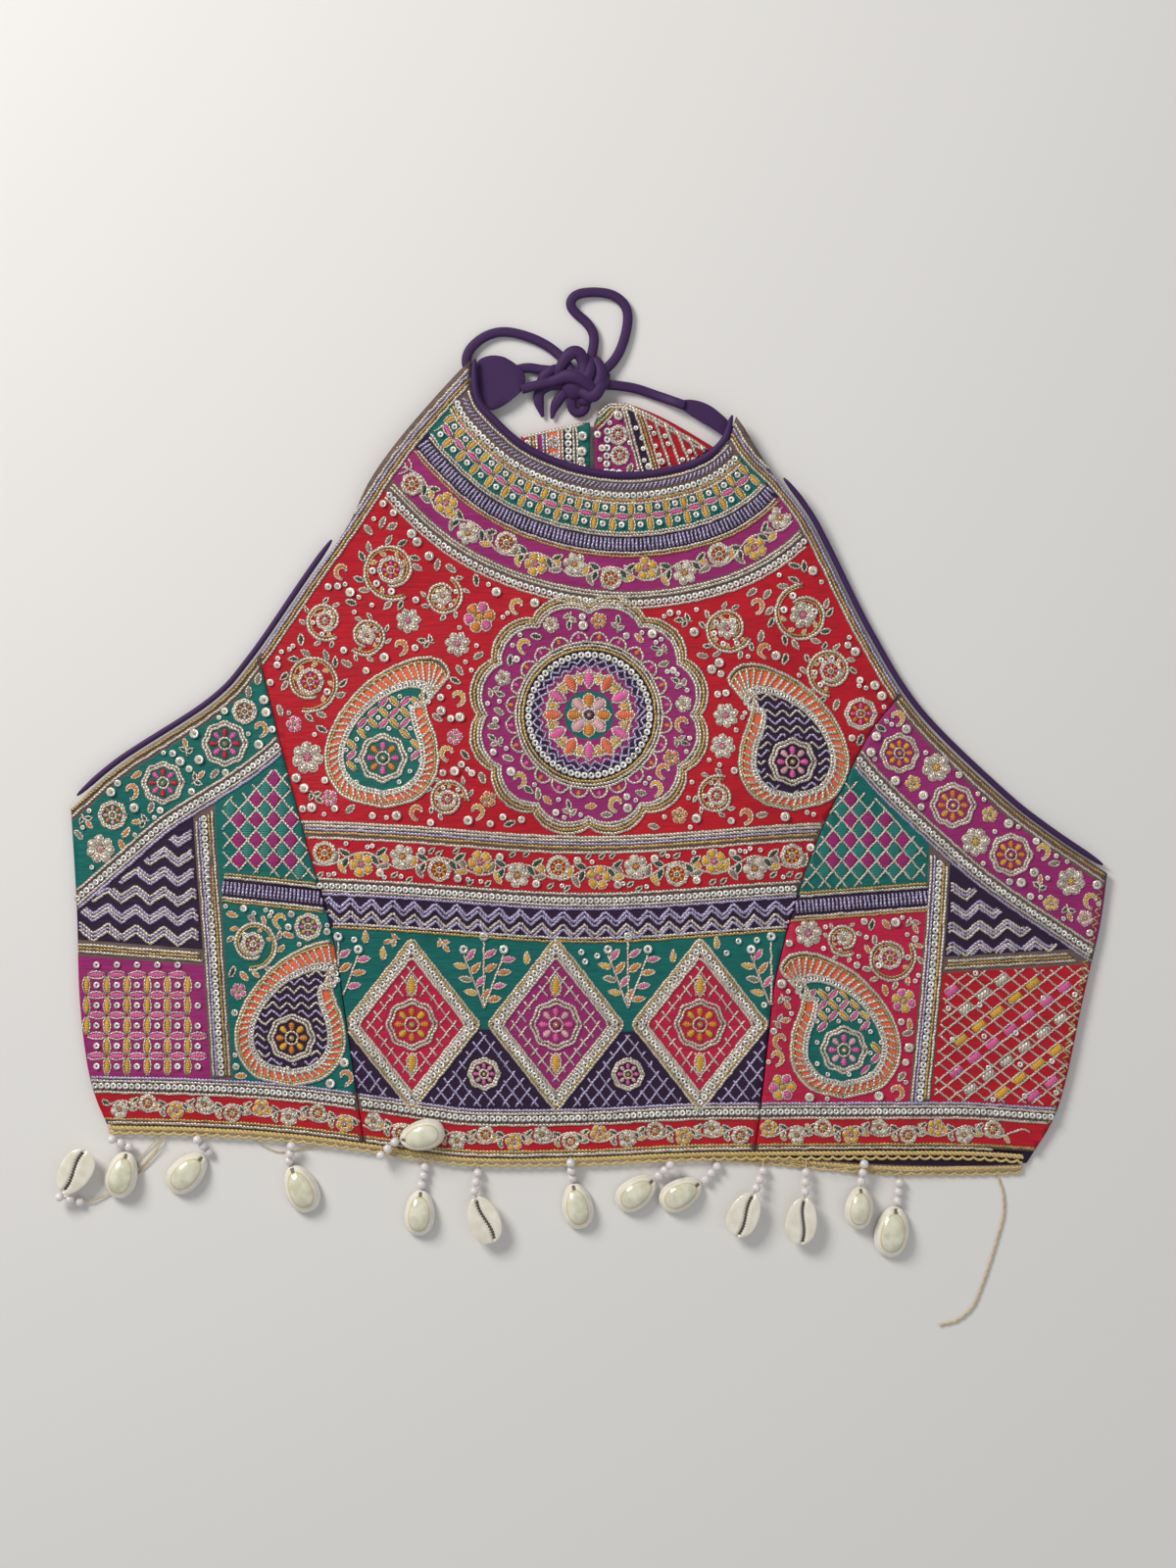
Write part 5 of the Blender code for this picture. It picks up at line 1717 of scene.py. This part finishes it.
# Bands of the tube in the knot: points of their middles, and width
WRAPS = (
    (((-7.8, 187.5, 3.4), (-12.6, 185.6, 4.2), (-15.6, 182.4, 3.4), (-12.0, 180.2, 3.0),
      (-6.5, 181.0, 3.6), (-1.0, 183.6, 4.0)), 4.2),
    (((-9.2, 180.6, 2.8), (-8.4, 186.4, 4.8), (-4.6, 192.4, 5.4), (-0.6, 193.2, 5.2),
      (1.6, 189.0, 5.0), (1.8, 183.2, 5.2), (-0.6, 177.4, 3.4)), 4.4),
    (((6.4, 191.6, 3.0), (8.8, 186.4, 4.6), (8.6, 181.0, 5.6), (6.2, 176.6, 4.6),
      (1.6, 173.6, 3.2), (-2.6, 176.4, 2.6)), 4.6),
    (((-16.6, 179.8, 2.6), (-10.6, 181.6, 5.6), (-4.4, 183.2, 7.2), (1.4, 181.2, 7.6),
      (5.6, 177.2, 6.2), (7.2, 173.6, 3.4)), 4.4),
    (((-5.6, 176.4, 3.0), (0.2, 177.0, 5.4), (5.4, 174.8, 6.4), (8.8, 178.2, 6.6),
      (10.6, 182.2, 4.6), (11.8, 185.0, 2.8)), 4.2),
    (((3.0, 192.0, 2.8), (4.6, 187.4, 5.4), (3.2, 182.6, 6.4), (-1.4, 179.6, 6.0),
      (-5.6, 178.8, 3.6)), 3.8),
)


def tie_wraps():
    """The knot: bands of the tube that cross over each other round its middle."""
    bands = [smooth(points, 0.9) for points, _ in WRAPS]
    radii = []
    for band, (_, width) in zip(bands, WRAPS):
        band[:, 2] = np.maximum(band[:, 2], 1.7)
        t = np.linspace(0, 1, len(band))
        radii.append(width / 2 * (0.74 + 0.52 * np.sin(math.pi * t) + 0.07 * np.sin(t * 17)))
    knot = tubes("tie_wraps", bands, radii, 14, "piping", 0.56)
    bpy.ops.object.select_all(action="DESELECT")
    bpy.ops.mesh.primitive_uv_sphere_add(segments=24, ring_count=14, radius=1.0)
    core = bpy.context.object
    for corner in core.data.vertices:
        x, y, z = corner.co
        uneven = 1.0 + 0.10 * math.sin(5 * x + 3 * y) * math.cos(4 * z + 2 * y)
        corner.co = placed(KNOT + Vector((x * 6.6 * uneven, y * 7.0 * uneven, z * 3.0 - 0.6)))
    core.data.materials.append(MATERIALS["piping"])
    core.data.shade_smooth()
    knot.select_set(True)
    bpy.context.view_layer.objects.active = knot
    bpy.ops.object.join()
    return replaced(knot, "tie_knot")


# Loose ends of sewing thread at the hem
LOOSE_THREADS = (
    ((-138.9, -139.0, 2.6), (-135.0, -142.4, 1.2), (-127.7, -145.6, 0.4), (-117.0, -144.2, 0.5),
     (-109.0, -142.2, 2.2)),
    ((-176.9, -136.6, 2.6), (-181.4, -142.0, 1.0), (-186.8, -148.6, 0.4), (-188.2, -153.8, 0.4)),
    ((-175.2, -136.8, 2.6), (-178.8, -143.0, 0.9), (-184.0, -149.4, 0.4), (-187.2, -152.6, 0.4)),
    ((86.9, -149.6, 1.2), (104.0, -152.6, 3.6), (121.0, -151.2, 4.1), (139.0, -153.0, 3.8),
     (160.0, -151.4, 3.9), (186.9, -152.0, 2.6)),
)


def loose_threads():
    tubes("loose_threads", [smooth(points, 0.9) for points in LOOSE_THREADS],
          [0.24] * len(LOOSE_THREADS), 6, "thread")


def thread_tail():
    line = smooth(THREAD_TAIL, 0.8)
    tail = tubes("sewing_thread", wound(line, 0.22, 7.0), [0.27, 0.27], 6, "thread")
    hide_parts("thread_tail")
    length_of(line)


# Cowries and pearls
def cowrie(length):
    """A cowrie with its drilled end at +Y: a glossy dome, a thick rim and a toothed slit below."""
    bpy.ops.object.select_all(action="DESELECT")
    bpy.ops.mesh.primitive_uv_sphere_add(segments=56, ring_count=40, radius=1.0,
                                         rotation=(math.pi / 2, 0.0, 0.0))
    shell = bpy.context.object
    bpy.ops.object.transform_apply(location=False, rotation=True, scale=False)
    half_width = length * 0.33
    own = []
    for corner in shell.data.vertices:
        x, along, z = corner.co
        along = -along
        ring = math.sqrt(max(1e-9, 1.0 - along * along))
        cross, height = x / ring, z / ring
        wide = half_width * ring ** 0.9 * (1.0 - 0.13 * along)
        out = math.copysign(abs(cross) ** 0.92, cross)
        if height > 0:
            rim = 0.07 * math.exp(-((height - 0.16) / 0.12) ** 2)
            waist = 0.05 * math.exp(-((height - 0.32) / 0.1) ** 2)
            level = DOME * ring ** 1.2 * (1.0 - 0.1 * along) * height ** 0.9
            level -= 1.4 * math.exp(-((along - 0.84) / 0.07) ** 2 - (cross * ring / 0.13) ** 2)
            spot_x = wide * out * (1.0 - waist + rim * 0.4)
            own.append((x, along, height * ring))
        else:
            spot_x = wide * out
            off = spot_x / half_width - 0.16 * math.sin(2.6 * along) + 0.10
            belly = ring ** 0.9 * (-height) ** 0.55
            lips = math.exp(-((abs(off) - 0.26) / 0.17) ** 2)
            tooth = 0.5 + 0.5 * math.sin(along * 52.0)
            slit = math.exp(-(off / 0.11) ** 2) * min(1.0, ring * 1.4)
            level = -belly * (1.02 + 0.28 * lips * (0.7 + 0.3 * tooth)) + 1.5 * slit
            level = max(level, 0.02 - BELLY)
            own.append((off, along, height * ring))
        corner.co = Vector((spot_x, along * length / 2, level + BELLY)) * MM
    thread_values(shell.data, own)
    bpy.ops.object.mode_set(mode="EDIT")
    bpy.ops.mesh.select_all(action="SELECT")
    bpy.ops.mesh.normals_make_consistent(inside=False)
    bpy.ops.object.mode_set(mode="OBJECT")
    bpy.ops.object.shade_smooth()
    return shell


def pearl_ball():
    """Points and faces of a ball of radius 1."""
    rows, sides = 12, 18
    tilt = np.linspace(0, math.pi, rows + 1)[1:-1]
    turn = np.arange(sides) / sides * math.tau
    ball = np.stack([np.outer(np.sin(tilt), np.cos(turn)).ravel(),
                     np.outer(np.sin(tilt), np.sin(turn)).ravel(),
                     np.repeat(np.cos(tilt), sides)], 1)
    ball = np.concatenate([[(0, 0, 1)], ball, [(0, 0, -1)]])
    pairs = [(i, (i + 1) % sides) for i in range(sides)]
    skin = [[0, 1 + i, 1 + n] for i, n in pairs]
    for base in range(1, 1 + (rows - 2) * sides, sides):
        skin += [[base + i, base + sides + i, base + sides + n, base + n] for i, n in pairs]
    base = 1 + (rows - 2) * sides
    return ball, skin + [[base + i, len(ball) - 1, base + n] for i, n in pairs]


def pearl_chain(number, first, last, turn):
    """Three pearls on a thread from the hem to the shell's drilled hole."""
    ahead = np.array((math.cos(turn), math.sin(turn)))
    hole = np.array((*(last[:2] - ahead * (PEARL / 2 + 1.6)), max(1.2, last[2] - 0.6)))
    if number == 1:
        start = LONG_THREAD
    elif first[2] > 5.0:
        start = [(first[0], first[1] + PEARL / 2 + 0.4, 4.1)]
    else:
        on_back = number == len(DROPS)
        hem = smooth(HEM_BACK if on_back else HEM_FRONT, 2.0)
        y = float(np.interp(first[0], hem[:, 0], hem[:, 1]))
        start = [(first[0], y - 1.4, 1.4 if on_back else 2.8)]
        first[1] = min(first[1], y - 2.7 - PEARL / 2 - 0.3)
    points, faces, own = swept([spaced(np.array([*start, first, last, hole]), 1.0)], [0.32], 6)
    kinds = [0] * len(faces)
    ball, skin = pearl_ball()
    for share in (0.0, 0.5, 1.0):
        size = PEARL / 2 * (1.0 + random.uniform(-0.03, 0.02))
        faces += [[i + len(points) for i in face] for face in skin]
        kinds += [1] * len(skin)
        spot = first * (1 - share) + last * share
        points = np.concatenate([points, ball * size + spot])
        own = np.concatenate([own, np.zeros((len(ball), 3))])
    chain = piece(f"pearls_{number:02d}", points, faces, kinds, ["thread", "pearl"], own)
    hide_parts(f"pearl_string_{number:02d}")


def drops():
    for number, (x1, y1, x2, y2, turn, length, slit_up, high, low) in enumerate(DROPS, 1):
        turn = math.radians(turn)
        shell = cowrie(length)
        shell.name = shell.data.name = f"shell_{number:02d}"
        reach = length / 2 + PEARL / 2 + 0.4
        height = DOME + BELLY + 0.15 if slit_up else low - PEARL / 2
        spot = placed((x2 - reach * math.cos(turn), y2 - reach * math.sin(turn), height))
        lie = Euler((0.0, math.pi if slit_up else 0.0, turn - math.pi / 2), "YXZ")
        shell.data.transform(Matrix.Translation(spot) @ lie.to_matrix().to_4x4())
        shell.data.materials.append(MATERIALS["shell"])
        replaced(ridden(shell), f"cowrie_{number:02d}")
        pearl_chain(number, np.array((x1, y1, high)), np.array((x2, y2, low)), turn)


def softened(node, name, material):
    """A CAD panel as cloth: joined into quads, smoothed, with its edges kept."""
    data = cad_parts[node].data.copy()
    data.materials.clear()
    data.materials.append(MATERIALS[material])
    thing = in_scene(bpy.data.objects.new(name, data))
    shape = bmesh.new()
    shape.from_mesh(data)
    bmesh.ops.remove_doubles(shape, verts=shape.verts, dist=1e-6)
    bmesh.ops.join_triangles(shape, faces=shape.faces, angle_face_threshold=0.5,
                             angle_shape_threshold=2.6)
    crease = shape.edges.layers.float.new("crease_edge")
    for edge in shape.edges:
        if edge.is_manifold and edge.calc_face_angle(0.0) > 0.9:
            edge[crease] = 0.92
    shape.to_mesh(data)
    shape.free()
    data.shade_smooth()
    soft = thing.modifiers.new("soft", "SUBSURF")
    soft.levels = soft.render_levels = 2
    soft.boundary_smooth = "PRESERVE_CORNERS"
    apply_all(thing)
    thing.data.shade_smooth()
    bpy.ops.object.shade_smooth_by_angle(angle=math.radians(50))
    return replaced(ridden(thing), node)


# The turned back tops, as far as they show in the neck: their silks, and stitching over them
LEFT_TOP = np.array(((-26.4, 158.0), (-22.3, 152.4), (-11.0, 147.2), (3.0, 142.6), (3.6, 164.6)))
RIGHT_TOP = np.array(((7.4, 142.0), (22.3, 140.8), (36.0, 142.6), (46.9, 145.4), (55.4, 152.6),
                      (37.0, 163.6), (20.0, 172.2), (12.4, 172.4), (6.6, 166.6)))
TOP_SILKS = {
    "left_back": (("scarlet", ((-40, 140), (-19, 140), (-19, 170), (-40, 170))),
                  ("apricot", ((-14, 140), (-7, 140), (-7, 170), (-14, 170))),
                  ("aubergine", ((-7, 140), (-1.5, 140), (-1.5, 170), (-7, 170))),
                  ("teal", ((-1.5, 140), (6, 140), (6, 170), (-1.5, 170)))),
    "right_back": (("aubergine", ((17, 176), (24, 172), (36, 138), (28, 138), (22, 158))),
                   ("scarlet", ((22, 174), (34, 138), (66, 138), (66, 160))),
                   ("teal", ((4, 166), (12, 176), (16, 172), (8, 162))),
                   ("aubergine", ((80, -130), (240, -130), (240, -170), (80, -170)))),
}


def top_silks(thing, zones):
    """Other silks on the turned top of a back, which is magenta elsewhere."""
    for colour, _ in zones:
        thing.data.materials.append(MATERIALS[colour])
    for face in thing.data.polygons:
        spot = np.array(face.center)[None, :2] / MM + np.array(MIDDLE)[None, :2]
        in_neck, at_hem = face.center.z > 0.002 and spot[0, 1] > 136, spot[0, 1] < -130
        if face.normal.z > 0.2 and (in_neck or at_hem):
            for i, (_, outline) in enumerate(zones, 1):
                if inside(spot, field(*outline))[0]:
                    face.material_index = i


def back_tops():
    """Embroidery on the turned tops of the back that show in the neck."""
    shape = bmesh.new()
    for name in TOP_SILKS:
        shape.from_mesh(bpy.data.objects[name].data)
    tree = BVHTree.FromBMesh(shape)
    shape.free()

    def height(x, y):
        found = []
        for across, up in zip(np.ravel(x), np.ravel(y)):
            hit = tree.ray_cast(placed((across, up, 20.0)), Vector((0.0, 0.0, -1.0)))[0]
            found.append(max(0.6, hit.z / MM) if hit else 2.0)
        return np.array(found).reshape(np.shape(x))

    left = Stitching("left_top", height, LEFT_TOP)
    for x, kinds in ((-19.0, ("silver", "gold", "silver")), (-14.0, ("silver", "lilac")),
                     (-7.4, ("silver", "silver")), (-1.2, ("silver", "silver"))):
        braid(left, [(x, 138.0), (x - 1.0, 168.0)], kinds)
    left.sequin_row([(-4.4, 143.0), (-4.9, 164.0)], 3.1, 1.6)
    left.cord("silver", LEFT_TOP[[0, 4]] - (0.0, 0.9), 1.6)
    for y in (148.5, 155.5):
        daisy(left, (-10.8, y), 2.9, ("lilac",), 6, "orange")
    garden(left, LEFT_TOP, ("bottle", "drab"), ("pink", "orange"), 0.5, False)
    right = Stitching("right_top", height, RIGHT_TOP)
    for line, kinds in (([(17.0, 176.0), (22.0, 158.0), (28.0, 136.0)], ("silver", "silver")),
                        ([(23.0, 174.0), (29.0, 156.0), (35.0, 136.0)],
                         ("silver", "gold", "silver")),
                        ([(4.0, 158.0), (16.0, 170.0)], ("silver", "gold"))):
        braid(right, smooth(line, 2.0), kinds)
    right.sequin_row([(11.4, 143.0), (11.8, 160.0)], 3.2, 1.6)
    for inset in (0.9, 2.3):
        right.cord("silver", RIGHT_TOP[4:] - (0.0, inset), 1.5)
    for reach in np.arange(28.0, 60.0, 4.6):
        line = [(reach, 178.0 - (reach - 24) * 0.6), (reach + 13.0, 138.0)]
        right.cord("silver", spaced(line, 1.4), 1.7)
    for spot in ((17.0, 150.0), (16.4, 158.6)):
        rosette(right, spot, 3.7, ("orange", "blush"))
    garden(right, RIGHT_TOP, ("bottle", "drab"), ("pink", "orange"), 0.5, False)
    return {"left": left.finish(), "right": right.finish()}


# The tie and the thread tail come first, then cloth, embroidery and trim
tie()
thread_tail()

PANELS = {name: outline_of(f"front_{node}") for name, node in
          (("middle", "centre"), ("left", "side_left"), ("right", "side_right"))}
PANELS["middle"] = up_to_piping(PANELS["middle"])
upper_work = Stitching("bust", front_top, PANELS["middle"])
lower_work = Stitching("midriff", front_top, PANELS["middle"])
yoke(upper_work)
bust(upper_work)
lower_work.claim(ring_band(HEM_LINE, -4.0, 22.5))
midriff(lower_work)
hem_band(lower_work)
belt(lower_work)
works = {"middle": (upper_work, lower_work)}
for name in ("left", "right"):
    works[name] = (Stitching(f"side_{name}", front_top, PANELS[name]),)
    side_panel(works[name][0], name == "left")
CUTS = {
    "middle": ("scarlet", "front_centre", (0.272, 0.338), 0.0621),
    "left": ("rose", "front_side_left", (0.124, 0.207), 0.0199),
    "right": ("scarlet", "front_side_right", (0.149, 0.194), 0.0198),
}
for name, (ground, node, flat, area) in CUTS.items():
    patches = [p for work in works[name] for p in work.patches]
    cloth = quilt(f"{name}_front", PANELS[name], ground, front_top, [node], patches)
    stitched = [part for work in works[name] for part in work.finish()]

backs = {}
for name in ("left", "right"):
    backs[name] = softened(f"back_{name}", f"{name}_back", "magenta")
    top_silks(backs[name], TOP_SILKS[f"{name}_back"])
stitched_tops = back_tops()
for name, flat, area in (("left", (0.220, 0.347), 0.0507), ("right", (0.218, 0.362), 0.0495)):
    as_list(stitched_tops[name])
softened("neck_tab_left", "left_tab", "piping")
softened("neck_tab_right", "right_tab", "piping")

pipings()
hem_braids()
loose_threads()
drops()

bpy.ops.mesh.primitive_plane_add(size=6.0, location=(0.0, 0.0, -0.0002))
floor = bpy.context.object
floor.name = "floor"
paper = Finish("floor_paper", Base_Color=(0.78, 0.77, 0.75, 1.0), Roughness=0.9)
floor.data.materials.append(paper.material)
lamp("key", 0.6, 20.0, (-0.9, 0.9, 1.0), (1.0, 0.97, 0.93))
lamp("fill", 2.0, 7.0, (0.9, -0.8, 1.6))
world = bpy.data.worlds.new("studio")
world.use_nodes = True
sky = world.node_tree.nodes["Background"].inputs
sky["Color"].default_value = (0.96, 0.97, 1.0, 1.0)
sky["Strength"].default_value = 0.32
bpy.context.scene.world = world
bpy.context.scene.view_settings.view_transform = "Standard"
